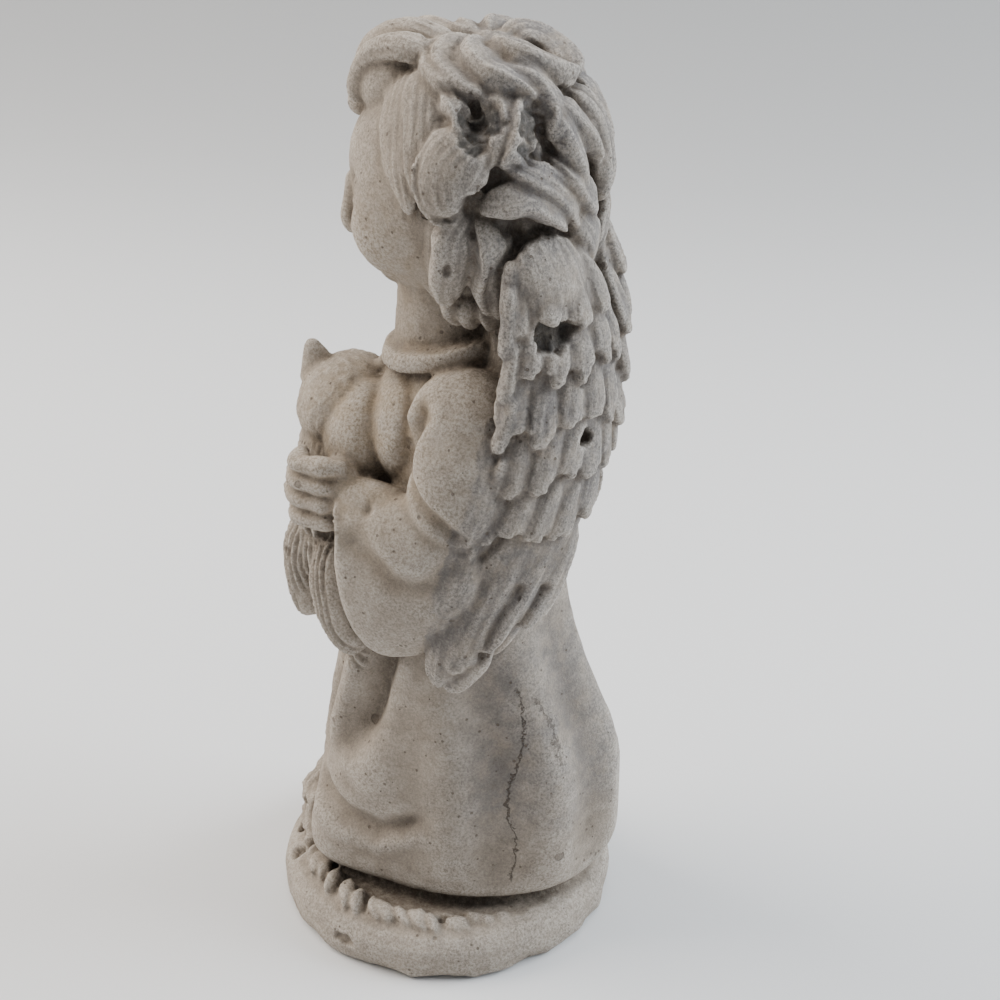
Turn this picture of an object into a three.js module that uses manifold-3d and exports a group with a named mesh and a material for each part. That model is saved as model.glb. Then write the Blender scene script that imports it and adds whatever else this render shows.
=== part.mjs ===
// Garden cherub: a small cast-stone angel child in a long robe, holding a kitten to its chest,
// standing on a low round base. Everything is one casting, so it is one closed solid.
// Millimetres. +Z is up, the child faces -Y, its left side is +X, the underside is at z = 0.

import * as THREE from 'three';
import * as BufferGeometryUtils from 'three/addons/utils/BufferGeometryUtils.js';
import { SimplifyModifier } from 'three/addons/modifiers/SimplifyModifier.js';
import Module from 'manifold-3d';

// The base; the crown of the hair stands 240 mm above its underside
const BASE_RADIUS = 46;
const BASE_TOP = 12;

// Head
const HEAD_CENTRE = new THREE.Vector3(0, 5.5, 203);
const HEAD_RADII = new THREE.Vector3(22.5, 24.5, 29);
const HAIR_CENTRE = new THREE.Vector3(0, 13, 207);
const HAIR_RADII = new THREE.Vector3(26.5, 25.2, 30.5);
const HAIR_DROP = 36;

// Wings lie against an upright oval drum round the back
const WING_CENTRE_Y = 12;
const WING_DRUM = { x: 37, y: 36 };
const WING_TOP = 199;
const WING_TIP = 83;

// Facet budgets
const BODY_TRIANGLES = 8700;
const FACE_TRIANGLES = 1900;
const PARTING = 0.03;

const RAD = Math.PI / 180;
const wasm = await Module();
wasm.setup();

// ---------------------------------------------------------------- solids

// Turns a closed three.js geometry into a solid that can be joined and cut
function toSolid(geometry) {
  const bare = geometry.clone();
  bare.deleteAttribute('normal');
  bare.deleteAttribute('uv');
  const merged = BufferGeometryUtils.mergeVertices(bare, 1e-4);
  const points = Float32Array.from(merged.attributes.position.array);
  const corners = Uint32Array.from(merged.index.array);
  if (signedVolume(points, corners) < 0) flipTriangles(corners);
  const kept = dropFlatTriangles(corners);
  return new wasm.Manifold(new wasm.Mesh({ numProp: 3, vertProperties: points, triVerts: kept }));
}

function signedVolume(points, corners) {
  const [a, b, c] = [new THREE.Vector3(), new THREE.Vector3(), new THREE.Vector3()];
  let volume = 0;
  for (let i = 0; i < corners.length; i += 3) {
    a.fromArray(points, corners[i] * 3);
    b.fromArray(points, corners[i + 1] * 3);
    c.fromArray(points, corners[i + 2] * 3);
    volume += a.dot(b.cross(c)) / 6;
  }
  return volume;
}

function flipTriangles(corners) {
  for (let i = 0; i < corners.length; i += 3) {
    [corners[i + 1], corners[i + 2]] = [corners[i + 2], corners[i + 1]];
  }
}

// Triangles with a repeated corner appear where a row of points closes to a pole
function dropFlatTriangles(corners) {
  const kept = [];
  for (let i = 0; i < corners.length; i += 3) {
    const [a, b, c] = [corners[i], corners[i + 1], corners[i + 2]];
    if (a !== b && b !== c && c !== a) kept.push(a, b, c);
  }
  return Uint32Array.from(kept);
}

function join(solids) {
  return solids.reduce((whole, solid) => whole.add(solid));
}

function mirrored(geometry) {
  return geometry.clone().applyMatrix4(new THREE.Matrix4().makeScale(-1, 1, 1));
}

// ---------------------------------------------------------------- shapes

const mix = (a, b, t) => a + (b - a) * t;
const bump = (x, width) => Math.exp(-((x / width) ** 2));
const vec = (x, y, z) => new THREE.Vector3(x, y, z);

function smooth(from, to, x) {
  const t = Math.min(1, Math.max(0, (x - from) / (to - from)));
  return t * t * (3 - 2 * t);
}

// Reads a value from a short list of [position, value] pairs, eased between them
function along(pairs, t) {
  if (t <= pairs[0][0]) return pairs[0][1];
  for (let i = 1; i < pairs.length; i += 1) {
    const [t1, v1] = pairs[i];
    const [t0, v0] = pairs[i - 1];
    if (t <= t1) return mix(v0, v1, (t - t0) / (t1 - t0));
  }
  return pairs[pairs.length - 1][1];
}

// A ball whose points are placed by a function of (column, row), row 0 at the foot pole
function ballBy(columns, rows, place) {
  const ball = new THREE.SphereGeometry(1, columns, rows);
  const spots = ball.attributes.position;
  for (let i = 0; i < spots.count; i += 1) {
    const row = rows - Math.floor(i / (columns + 1));
    const column = (i % (columns + 1)) % columns;
    const moved = place(column, row);
    spots.setXYZ(i, moved.x, moved.y, moved.z);
  }
  return ball;
}

// An egg-shaped lump, turned by degrees about x, y and z
function lump(centre, radii, turned = [0, 0, 0], turns = 12, rows = 8) {
  const ball = new THREE.SphereGeometry(1, turns, rows);
  ball.rotateX(Math.PI / 2);
  ball.scale(...radii);
  ball.rotateX(turned[0] * RAD);
  ball.rotateY(turned[1] * RAD);
  ball.rotateZ(turned[2] * RAD);
  ball.translate(...centre);
  return ball;
}

// A rounded strand along a smooth path. wide(t) runs across it, high(t) away from `inside`
function strand(path, wide, high, inside, columns = 7, rows = 7) {
  const curve = new THREE.CatmullRomCurve3(path);
  return ballBy(columns, rows, (column, row) => {
    const t = row / rows;
    const spot = curve.getPoint(t);
    if (row === 0 || row === rows) return spot;
    const ahead = curve.getTangent(t);
    const out = spot.clone().sub(inside);
    out.addScaledVector(ahead, -out.dot(ahead)).normalize();
    const across = ahead.clone().cross(out);
    const turn = (column / columns) * 2 * Math.PI;
    const full = Math.sqrt(1 - (2 * t - 1) ** 6);
    spot.addScaledVector(across, Math.cos(turn) * wide(t) * full);
    spot.addScaledVector(out, Math.sin(turn) * high(t) * full);
    return spot;
  });
}

// ---------------------------------------------------------------- base and foliage

// Distance in from the rim and height, up the side of the base and across its top
const BASE_PROFILE = [
  [BASE_RADIUS, 0], [2.5, 0], [0.6, 1.8], [0, 5], [1, 8.6], [3.6, 11.4],
  [6.4, 12.4], [9, 12.2], [11.6, 12.6], [15, BASE_TOP], [BASE_RADIUS, BASE_TOP],
];

// Leaves carved in a ring between the hem and the rim, worn away towards the back right
function leafRelief(turn, radius) {
  const ring = bump(radius - 36.5, 4.5);
  const worn = smooth(-100, -70, turn) * (1 - smooth(95, 135, turn));
  const leaf = Math.sin(turn * 0.29 + radius * 1.9) + 0.8 * Math.cos(turn * 0.47 - radius * 2.7);
  return 1.6 * leaf * ring * worn;
}

function baseDisc() {
  const profile = BASE_PROFILE.map(([inward, up]) => new THREE.Vector2(BASE_RADIUS - inward, up));
  const disc = new THREE.LatheGeometry(profile, 64);
  const spots = disc.attributes.position;
  for (let i = 0; i < spots.count; i += 1) {
    const [x, up, z] = [spots.getX(i), spots.getY(i), spots.getZ(i)];
    const turn = Math.atan2(x, -z) / RAD;
    const radius = Math.hypot(x, z);
    const lift = up > BASE_TOP - 0.5 && radius > 33 ? leafRelief(turn, radius) : 0;
    spots.setXYZ(i, x, z, up + lift);
  }
  return disc;
}

// Makes a lump knobbly, like packed leaves
function leafy(shape, depth) {
  shape.computeBoundingSphere();
  const middle = shape.boundingSphere.center;
  const spots = shape.attributes.position;
  const spot = vec(0, 0, 0);
  for (let i = 0; i < spots.count; i += 1) {
    spot.fromBufferAttribute(spots, i);
    const { x, y, z } = spot;
    const knob = Math.sin(x * 0.9 + z * 0.5) + Math.sin(y * 0.8 - z * 0.9 + 1) + Math.sin(z * 0.7 + x * 0.4);
    const out = spot.clone().sub(middle).normalize();
    spot.addScaledVector(out, depth * knob / 3);
    spots.setXYZ(i, spot.x, spot.y, spot.z);
  }
  return shape;
}

// A bank of foliage rising against the front of the robe, highest on the right
function foliageBank() {
  return [
    leafy(lump([-7, -29, 13], [21, 14.5, 14], [8, 0, 6], 26, 18), 2),
    leafy(lump([-9, -27.5, 27], [14, 8.5, 19], [12, 0, 12], 22, 16), 1.8),
    leafy(lump([-27, -22, 13], [11, 10, 8], [0, 0, 40], 18, 12), 1.6),
  ];
}

// ---------------------------------------------------------------- robe

// Height, depth centre, half width and half depth of the robe, from the hem to the neck
const ROBE = [
  [8, 6, 27, 36],
  [14.5, 6, 28, 37],
  [17, 6, 30, 39],
  [22, 6, 31, 40],
  [29, 6, 30.8, 40],
  [40, 6.3, 29.8, 39.8],
  [52, 6.6, 28.6, 39],
  [62, 5.6, 27.6, 36],
  [76, 4.3, 26.6, 32],
  [93, 4, 26, 28],
  [112, 6, 26.5, 25],
  [132, 8, 27.5, 22],
  [146, 9, 28, 20],
  [155, 9, 24.5, 17.5],
  [161, 8, 19, 14.5],
  [167, 6, 13, 12],
];

// The folds of the skirt, as mm in or out: a middle pleat between two valleys at the front,
// a broad fold each side of them that breaks over the foot, softer folds down the back
function foldDepth(turn, height) {
  const side = Math.abs(turn);
  const under = 1 - smooth(88, 104, height);
  const valley = -8 * bump(side - 30, 8.5) * smooth(36, 58, height) * under;
  const middle = 1.6 * bump(side, 16) * smooth(20, 50, height) * under;
  const broad = 3 * bump(side - 52, 15) * smooth(16, 40, height) * under;
  const overFoot = 6 * bump(side - 36, 19) * bump(height - 21, 17);
  const creaseAt = 39 - 0.36 * (side - 34);
  const crease = -2.6 * bump(height - creaseAt, 3.2) * smooth(24, 36, side) * (1 - smooth(62, 80, side));
  const deepening = smooth(112, 40, height) * smooth(14, 30, height);
  const back = 1.7 * Math.cos(side * 8 * RAD) * smooth(66, 100, side) * deepening;
  return valley + middle + broad + overFoot + crease + back;
}

// One measure of the robe at a height, eased between the rings above the hem
function robeMeasure(height, item) {
  const rings = ROBE.map((ring) => [ring[0], ring[item]]);
  const ease = 7 * smooth(20, 40, height);
  return (along(rings, height - ease) + along(rings, height) + along(rings, height + ease)) / 3;
}

function robe() {
  const columns = 96;
  const rows = 44;
  const [low, high] = [ROBE[0][0], ROBE[ROBE.length - 1][0]];
  return ballBy(columns, rows, (column, row) => {
    const height = mix(low, high, row / rows);
    const centreY = robeMeasure(height, 1);
    if (row === 0 || row === rows) return vec(0, centreY, height);
    const turn = signedTurn(column, columns);
    const fold = foldDepth(turn, height);
    const x = Math.sin(turn * RAD) * (robeMeasure(height, 2) + fold);
    const y = centreY - Math.cos(turn * RAD) * (robeMeasure(height, 3) + fold);
    return vec(x, y, height);
  });
}

// Shoulder blades and the roots of the wings
function upperBack() {
  return lump([0, 22, 150], [20, 15, 34], [-4, 0, 0], 20, 14);
}

// ---------------------------------------------------------------- arms, sleeves and hands

const ARM_INSIDE = vec(6, 0, 126);

function upperArm() {
  return strand(
    [vec(13, 10, 164), vec(22, 12, 155), vec(27.5, 12.5, 140), vec(28.5, 9, 122)],
    (t) => along([[0, 9], [0.35, 14], [1, 12]], t), (t) => along([[0, 6], [0.4, 9.5], [1, 10]], t),
    vec(0, 10, 140), 18, 12);
}

// A wide bell sleeve that hangs from the forearm and opens towards the hand
function sleeveBell() {
  return strand(
    [vec(26, 16, 127), vec(29, 8, 121), vec(28, -2, 114.5), vec(26, -11, 110), vec(24.5, -17.5, 109)],
    (t) => along([[0, 10], [0.25, 17], [0.55, 22], [0.85, 23.5], [1, 22]], t),
    (t) => along([[0, 7], [0.4, 10.5], [1, 9.5]], t), vec(4, 0, 114), 24, 16);
}

function sleeveHollow() {
  return strand(
    [vec(26, -9, 110), vec(24.3, -17, 108.5), vec(22.5, -26, 107.5)],
    (t) => along([[0, 10], [0.5, 18.5], [1, 20]], t), (t) => along([[0, 4], [0.5, 6.6], [1, 8]], t),
    vec(4, 0, 110), 18, 8);
}

function forearm() {
  return strand(
    [vec(27, 0, 125), vec(25.5, -10, 127.5), vec(23, -19, 129.5)],
    (t) => mix(9, 7.4, t), (t) => mix(8, 5.6, t), ARM_INSIDE, 14, 8);
}

// The hand lies flat against the kitten, four fingers one above the other
function hand() {
  const fingers = [];
  const palm = lump([21.5, -21.5, 130.5], [5.4, 8, 9], [0, 0, -30], 14, 10);
  for (let i = 0; i < 4; i += 1) {
    const height = 138 - i * 4.9;
    const reach = [-30.5, -33.5, -34.5, -33][i];
    const path = [vec(22.5, -20, height), vec(20.5, -27, height), vec(14.5, reach, height - 0.5)];
    fingers.push(strand(path, () => 2.6, () => 2.8, vec(0, -16, height), 9, 8));
  }
  return [palm, ...fingers];
}

function armSolid() {
  const cloth = join([upperArm(), sleeveBell()].map(toSolid)).subtract(toSolid(sleeveHollow()));
  return join([cloth, ...[forearm(), ...hand()].map(toSolid)]);
}

// ---------------------------------------------------------------- kitten

// It looks to the child's right, its head against the chest; its back is to the left
function kitten() {
  const body = lump([0, -21.5, 120], [19, 15.5, 28], [6, 0, 0], 22, 18);
  const head = lump([0, -22.5, 143.5], [15.5, 13.5, 13], [0, 0, 0], 24, 16);
  const cheeks = [-17.5, -28.5].map((y) => lump([-10, y, 139], [6.5, 6, 5.5], [0, 0, 0], 12, 8));
  const muzzle = lump([-15.5, -23, 139.5], [4.4, 4.8, 3.6], [0, 0, 0], 12, 8);
  const nose = lump([-19.4, -23, 141.4], [1.3, 1.8, 1.2], [0, 0, 0], 8, 6);
  const eyes = [-18.5, -27.5].map((y) => lump([-13.2, y, 145.6], [2, 2.4, 2], [0, 0, 0], 10, 7));
  const ears = [-30.8, -13].map((y) => {
    const ear = lump([0, 0, 0], [3, 4.8, 7], [(y + 22) * -2.4, 0, 0], 12, 10);
    return ear.translate(0, y, 153.5);
  });
  return [body, head, ...cheeks, muzzle, nose, ...eyes, ...ears];
}

// Hind legs and tail hanging below the hands
function kittenLegs() {
  const inside = vec(0, -5, 108);
  const leg = strand(
    [vec(7, -30, 118), vec(9, -34, 106), vec(9, -33.5, 95), vec(8.5, -31.5, 87)],
    (t) => along([[0, 6], [0.4, 7.5], [0.75, 5.6], [1, 6.2]], t), () => 5, inside, 12, 10);
  const tail = strand(
    [vec(15, -22, 116), vec(18.5, -23, 103), vec(19, -20.5, 92), vec(18.5, -15, 84.5)],
    (t) => along([[0, 7], [0.4, 7], [1, 5.4]], t), () => 6, inside, 12, 10);
  return [leg, mirrored(leg), tail];
}

// Locks of fur down the kitten's front and side
function fur() {
  const tufts = [];
  for (let i = 0; i < 14; i += 1) {
    const turn = mix(-62, 62, (i % 7) / 6) + (i > 6 ? 9 : 0);
    const top = i > 6 ? 121 : 133;
    const at = (z, out) => vec(Math.sin(turn * RAD) * (18.5 + out), -21.5 - Math.cos(turn * RAD) * (15 + out), z);
    tufts.push(strand([at(top, -2.5), at(top - 8, 0.4), at(top - 17, 0.6)],
      (t) => mix(3.6, 2.2, t), () => 2.1, vec(0, -20, top - 8), 7, 6));
  }
  return tufts;
}

// ---------------------------------------------------------------- head and face

// Direction from (turn, rise) degrees: turn 0 is the front, 90 the child's left, rise 90 the top
function aim(turn, rise) {
  const flat = Math.cos(rise * RAD);
  return vec(Math.sin(turn * RAD) * flat, -Math.cos(turn * RAD) * flat, Math.sin(rise * RAD));
}

// Degrees from the front, positive to the left, for one of the columns of a ball
function signedTurn(column, columns) {
  const turn = (column / columns) * 360;
  return turn > 180 ? turn - 360 : turn;
}

// Swellings and hollows of a calm, generic child's face: [turn, rise, half width, depth]
const FACE_FORMS = [
  [38, -24, 22, 3.2],
  [0, -50, 15, 3.4],
  [0, 16, 26, 1.4],
  [21, -2, 10, -2.6],
  [0, -33, 13, 1.6],
  [16, -33, 7, -0.8],
];

function faceSwell(turn, rise) {
  let swell = 0;
  for (const [side, up, width, depth] of FACE_FORMS) {
    const spread = Math.hypot(Math.abs(turn) - side, (rise - up) * 1.15);
    swell += depth * bump(spread, width);
  }
  return swell;
}

// Points crowd towards the front of the head so the face is finer than the back
function headBall() {
  const columns = 56;
  const rows = 40;
  return ballBy(columns, rows, (column, row) => {
    const even = row % rows === 0 ? 0 : signedTurn(column, columns);
    const turn = even - 26 * Math.sin(even * RAD);
    const rise = (row / rows - 0.5) * 180;
    const reach = aim(turn, rise).multiply(HEAD_RADII);
    reach.x *= 1 - 0.05 * smooth(-15, -70, rise);
    const length = reach.length();
    return reach.multiplyScalar((length + faceSwell(turn, rise)) / length).add(HEAD_CENTRE);
  });
}

// A point `out` mm in front of the bare face at the given width and height
function onFace(x, z, out) {
  const up = (z - HEAD_CENTRE.z) / HEAD_RADII.z;
  const side = x / HEAD_RADII.x;
  const bare = HEAD_CENTRE.y - HEAD_RADII.y * Math.sqrt(1 - up * up - side * side);
  const rise = Math.asin(up) / RAD;
  const turn = Math.asin(side / Math.sqrt(1 - up * up)) / RAD;
  return vec(x, bare - faceSwell(turn, rise) - out, z);
}

const EYE_HEIGHT = 201;
const NOSE_HEIGHT = 190.5;
const MOUTH_HEIGHT = 184.6;

function faceFeatures() {
  const inside = vec(0, 5, 195);
  const nose = strand(
    [onFace(0, 204, -1), onFace(0, 198, 0.6), onFace(0, NOSE_HEIGHT + 1.5, 2.6), onFace(0, NOSE_HEIGHT - 1.5, 0.4)],
    (t) => along([[0, 1.8], [0.65, 2.8], [1, 2.6]], t), () => 2.4, inside, 12, 10);
  const nostril = leftAndRight(lumpAt(onFace(2.7, NOSE_HEIGHT, 0.4), [1.9, 1.8, 1.6]));
  const upperLip = strand(
    [onFace(-5, MOUTH_HEIGHT + 0.6, -0.6), onFace(0, MOUTH_HEIGHT + 1.4, 0.3), onFace(5, MOUTH_HEIGHT + 0.6, -0.6)],
    (t) => 0.6 + 0.9 * Math.sin(Math.PI * t), () => 1.3, inside, 8, 10);
  const lowerLip = strand(
    [onFace(-4, MOUTH_HEIGHT - 0.9, -0.8), onFace(0, MOUTH_HEIGHT - 2, 0.2), onFace(4, MOUTH_HEIGHT - 0.9, -0.8)],
    (t) => 0.6 + 1.1 * Math.sin(Math.PI * t), () => 1.5, inside, 8, 10);
  const eye = leftAndRight(lumpAt(onFace(8.2, EYE_HEIGHT, -1.9), [3.6, 2.8, 2.5]));
  const upperLid = leftAndRight(strand(
    [onFace(4.4, EYE_HEIGHT - 0.2, -0.5), onFace(8.2, EYE_HEIGHT + 2.7, 0.1), onFace(12, EYE_HEIGHT, -0.6)],
    () => 0.9, () => 1, inside, 8, 9));
  const lowerLid = leftAndRight(strand(
    [onFace(4.8, EYE_HEIGHT - 0.8, -0.6), onFace(8.2, EYE_HEIGHT - 2.4, -0.1), onFace(11.6, EYE_HEIGHT - 0.7, -0.7)],
    () => 0.7, () => 0.8, inside, 8, 9));
  return [nose, ...nostril, upperLip, lowerLip, ...eye, ...upperLid, ...lowerLid];
}

const lumpAt = (spot, radii) => lump(spot.toArray(), radii, [0, 0, 0], 12, 9);
const leftAndRight = (shape) => [shape, mirrored(shape)];

function neckAndCollar() {
  const neck = new THREE.CylinderGeometry(12.2, 14.2, 34, 22, 1);
  neck.rotateX(Math.PI / 2);
  neck.rotateX(-3 * RAD);
  neck.translate(0, 3.2, 170);
  const collar = new THREE.TorusGeometry(14.2, 2.2, 8, 32);
  collar.scale(1.12, 1, 1.3);
  collar.rotateX(13 * RAD);
  collar.translate(0, 4, 163.5);
  return [neck, collar];
}

// ---------------------------------------------------------------- hair

// A point on the hair mass, `lift` mm proud of it; below the middle it hangs almost straight
function onHair(turn, rise, lift = 0) {
  const low = rise < 0;
  const up = Math.sin(rise * RAD);
  const flat = low ? Math.sqrt(1 - Math.abs(up) ** 2.6) : Math.cos(rise * RAD);
  const x = Math.sin(turn * RAD) * flat * (HAIR_RADII.x + lift);
  const y = -Math.cos(turn * RAD) * flat * (HAIR_RADII.y + lift);
  const z = up * (low ? HAIR_DROP : HAIR_RADII.z + lift);
  return vec(x, y, z).add(HAIR_CENTRE);
}

// Shallow grooves run down the mass between the locks that lie on it
const GROOVES_PER_SIDE = 10;

function hairMass() {
  const columns = 80;
  const rows = 26;
  return ballBy(columns, rows, (column, row) => {
    const turn = signedTurn(column, columns);
    const rise = (row / rows - 0.5) * 180;
    const wave = 6 * Math.sin(rise * 0.07 + 0.6) * Math.sin(Math.abs(turn) * RAD);
    const ridge = Math.cos(Math.abs(turn) * RAD * GROOVES_PER_SIDE * 2) * 0.9 - 1.6;
    const fade = smooth(90, 62, rise) * smooth(-90, -66, rise);
    return onHair(turn + wave * Math.sign(turn), rise, ridge * fade);
  });
}

// Locks on the left side: start turn and rise, end turn and rise, sideways sway,
// half width, height and width of the tip
const LOCKS = [
  [44, 83, 34, 31, -12, 5.2, 3.2, 0.7],
  [56, 70, 97, 31, 7, 4.4, 3.4, 0.9],
  [66, 76, 109, 42, 4, 5, 3.8, 0.8],
  [92, 82, 136, 40, -7, 5, 4, 0.6],
  [128, 66, 149, 27, 4, 4.6, 3.2, 0.7],
  [142, 74, 182, 44, -7, 4.8, 3.2, 0.7],
  [108, 38, 95, -2, -17, 7.6, 5.4, 1.1],
  [108, 42, 108, 4, 7, 4.4, 3.4, 0.9],
  [130, 38, 112, -2, 6, 5, 3.8, 0.9],
  [139, 28, 170, -12, -8, 4.6, 3.2, 0.8],
  [159, 40, 181, -6, 4, 4.6, 3, 0.8],
  [116, 14, 153, -12, -5, 4.4, 3, 0.8],
  [104, 0, 143, -10, 6, 4.6, 4, 0.8],
  [150, 4, 171, -36, 4, 4.8, 3.2, 0.8],
  [94, -3, 90, -42, -6, 5, 4.4, 1.2],
  [106, -6, 108, -50, 4, 4.8, 3.8, 1],
  [84, -40, 92, -68, -5, 4, 2.8, 0.7],
  [98, -46, 99, -74, 4, 4, 2.8, 0.7],
  [128, -12, 134, -50, 5, 4.8, 3.2, 0.8],
  [160, -14, 164, -60, 4, 5, 3, 0.8],
];

function lockOfHair([turn0, rise0, turn1, rise1, sway, wide, high, tip]) {
  const path = [];
  for (let i = 0; i <= 5; i += 1) {
    const t = i / 5;
    const turn = mix(turn0, turn1, t) + sway * Math.sin(t * Math.PI);
    const lift = -0.8 + 1.8 * Math.sin(t * Math.PI * 0.75);
    path.push(onHair(turn, mix(rise0, rise1, t), lift));
  }
  const width = (t) => wide * along([[0, 0.55], [0.45, 1], [1, tip]], t);
  return strand(path, width, (t) => high * (0.6 + 0.4 * Math.sin(Math.PI * t)), HAIR_CENTRE, 8, 10);
}

// The fringe stands forward over the right of the forehead and ends in a small curl
function fringe() {
  const mass = lump([-4, -5.5, 224.5], [14, 13, 12.3], [0, 0, 0], 16, 12);
  const inside = vec(-3, 2, 222);
  const paths = [
    [vec(6, 6, 238), vec(1, -5, 237.3), vec(-4, -14, 233), vec(-7.5, -18.3, 226), vec(-7.5, -19, 219)],
    [vec(-4, 6, 238), vec(-10, -4, 235.5), vec(-14, -11.5, 229), vec(-16, -12.5, 220)],
    [vec(11, 3, 237), vec(8, -6, 235.8), vec(4, -13, 232), vec(1.5, -17, 225), vec(2, -16.4, 220)],
  ];
  const strands = paths.map((path, i) => strand(
    path, (t) => [4.6, 4.6, 3.8][i] * (1 - 0.35 * t), () => 2.6, inside, 8, 9));
  const curl = lump([-7, -18.4, 218], [4.4, 3.8, 3.4], [0, 0, 0], 10, 7);
  return [mass, ...strands, curl];
}

function hair() {
  const near = LOCKS.map(lockOfHair);
  const far = near.slice(1).map(mirrored);
  return [hairMass(), ...fringe(), ...near, ...far];
}

// ---------------------------------------------------------------- wings

// Front and back edges of the left wing as turns round the drum, by height
const WING_EDGES = [
  [WING_TIP, 82, 94],
  [88, 79, 101],
  [96, 81, 112],
  [106, 86, 126],
  [116, 91.5, 141],
  [126, 98, 155],
  [140, 105, 168],
  [155, 111, 174],
  [170, 113, 174],
  [183, 115, 168],
  [192, 117, 156],
  [WING_TOP, 124, 140],
];

// How far the drum reaches back at each height, as a share of its radius
const WING_REACH = [[WING_TIP, 1], [126, 0.94], [158, 0.98], [172, 0.96], [184, 0.86], [WING_TOP, 0.72]];

function onWing(across, height, lift) {
  const front = along(WING_EDGES.map(([z, a]) => [z, a]), height);
  const back = along(WING_EDGES.map(([z, a, b]) => [z, b]), height);
  const turn = mix(front, back, across) * RAD;
  const domed = -2.5 * Math.abs(2 * across - 1) ** 4;
  const reach = along(WING_REACH, height);
  const x = Math.sin(turn) * (WING_DRUM.x - 3 + lift + domed);
  const y = WING_CENTRE_Y - Math.cos(turn) * ((WING_DRUM.y - 3) * reach + lift + domed);
  return vec(x, y, height);
}

function wingBlade() {
  const columns = 28;
  const rows = 26;
  return ballBy(columns, rows, (column, row) => {
    const height = mix(WING_TIP, WING_TOP, row / rows);
    if (row === 0 || row === rows) return onWing(0.5, height, -2);
    const turn = (column / columns) * 2 * Math.PI;
    const lift = Math.sin(turn) > 0 ? 0.8 * Math.sin(turn) : 10 * Math.sin(turn);
    return onWing(0.5 + 0.5 * Math.cos(turn), height, lift);
  });
}

// Rows of short feathers: height of the roots, length, feathers across, half width
const FEATHER_ROWS = [
  [195, 17, 3, 4.6],
  [184, 18, 4, 4.5],
  [171, 18, 4, 5],
  [158, 18, 4, 5.3],
  [145, 18, 4, 5.2],
];
const LONG_FEATHERS = 4;

function feather(across0, across1, top, drop, halfWide, lift) {
  const path = [0, 0.35, 0.7, 1].map((t) => onWing(mix(across0, across1, t), top - drop * t, lift + 2 * t - 0.8));
  const wide = (t) => halfWide * along([[0, 0.6], [0.6, 1], [1, 0.75]], t);
  return strand(path, wide, () => 1.7, vec(0, WING_CENTRE_Y, top - drop / 2), 8, 7);
}

function shortFeathers() {
  const feathers = [];
  FEATHER_ROWS.forEach(([top, drop, count, halfWide], row) => {
    for (let i = 0; i < count; i += 1) {
      const across = (i + 0.4 + (row % 2) * 0.4) / (count + 0.1);
      const sag = 1.6 * Math.sin(i * 2.1 + row * 1.3);
      feathers.push(feather(across, across - 0.05, top + sag, drop, halfWide, 0.4));
    }
  });
  return feathers;
}

function longFeathers() {
  const feathers = [];
  for (let i = 0; i < LONG_FEATHERS; i += 1) {
    const across = 0.12 + i * 0.25;
    feathers.push(feather(across, across, 132 - i * 1.5, 48 - i * 7.5, 4.6 - i * 0.2, 0));
  }
  return feathers;
}

// Narrow feathers along the front edge, like fingers
function edgeFeathers() {
  const spans = [[190, 17], [178, 16], [165, 15], [150, 38]];
  return spans.map(([top, drop]) => strand(
    [0, 0.5, 1].map((t) => onWing(0.04 - 0.06 * t, top - drop * t, 1.6 + 0.6 * t)),
    () => 2, () => 2.2, vec(0, WING_CENTRE_Y, top - drop / 2), 7, 7));
}

function wing() {
  return [wingBlade(), ...shortFeathers(), ...longFeathers(), ...edgeFeathers()];
}

// ---------------------------------------------------------------- the whole statue

// Everything but the hands and the face, which keep their own finer facets
function bodySolid() {
  const left = wing();
  const pieces = [
    baseDisc(), ...foliageBank(), robe(), upperBack(), ...neckAndCollar(), ...hair(),
    ...left, ...left.map(mirrored), ...kitten(), ...kittenLegs(), ...fur(),
  ];
  return join(pieces.map(toSolid));
}

function faceSolid() {
  return join([headBall(), ...faceFeatures()].map(toSolid));
}

// The underside is flat: whatever the forms reach below it is cut away
function groundBlock() {
  const block = new THREE.BoxGeometry(4 * BASE_RADIUS, 4 * BASE_RADIUS, BASE_TOP);
  return toSolid(block.translate(0, 0, -BASE_TOP / 2));
}

// The casting is solid through, so closed pockets between joined forms are filled
function withoutPockets(solid) {
  const bodies = solid.decompose();
  return bodies.reduce((main, body) => (body.volume() > main.volume() ? body : main));
}

function surfaceOf(solid) {
  const raw = solid.getMesh();
  const geometry = new THREE.BufferGeometry();
  geometry.setAttribute('position', new THREE.BufferAttribute(Float32Array.from(raw.vertProperties), 3));
  geometry.setIndex(Array.from(raw.triVerts));
  return geometry;
}

// Merges the smallest facets, most of them slivers along joins, into their neighbours
async function thinned(solid, mostTriangles) {
  const geometry = surfaceOf(solid);
  const spare = (geometry.index.count / 3 - mostTriangles) / 2;
  return new SimplifyModifier().modify(geometry, Math.ceil(spare));
}

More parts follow.
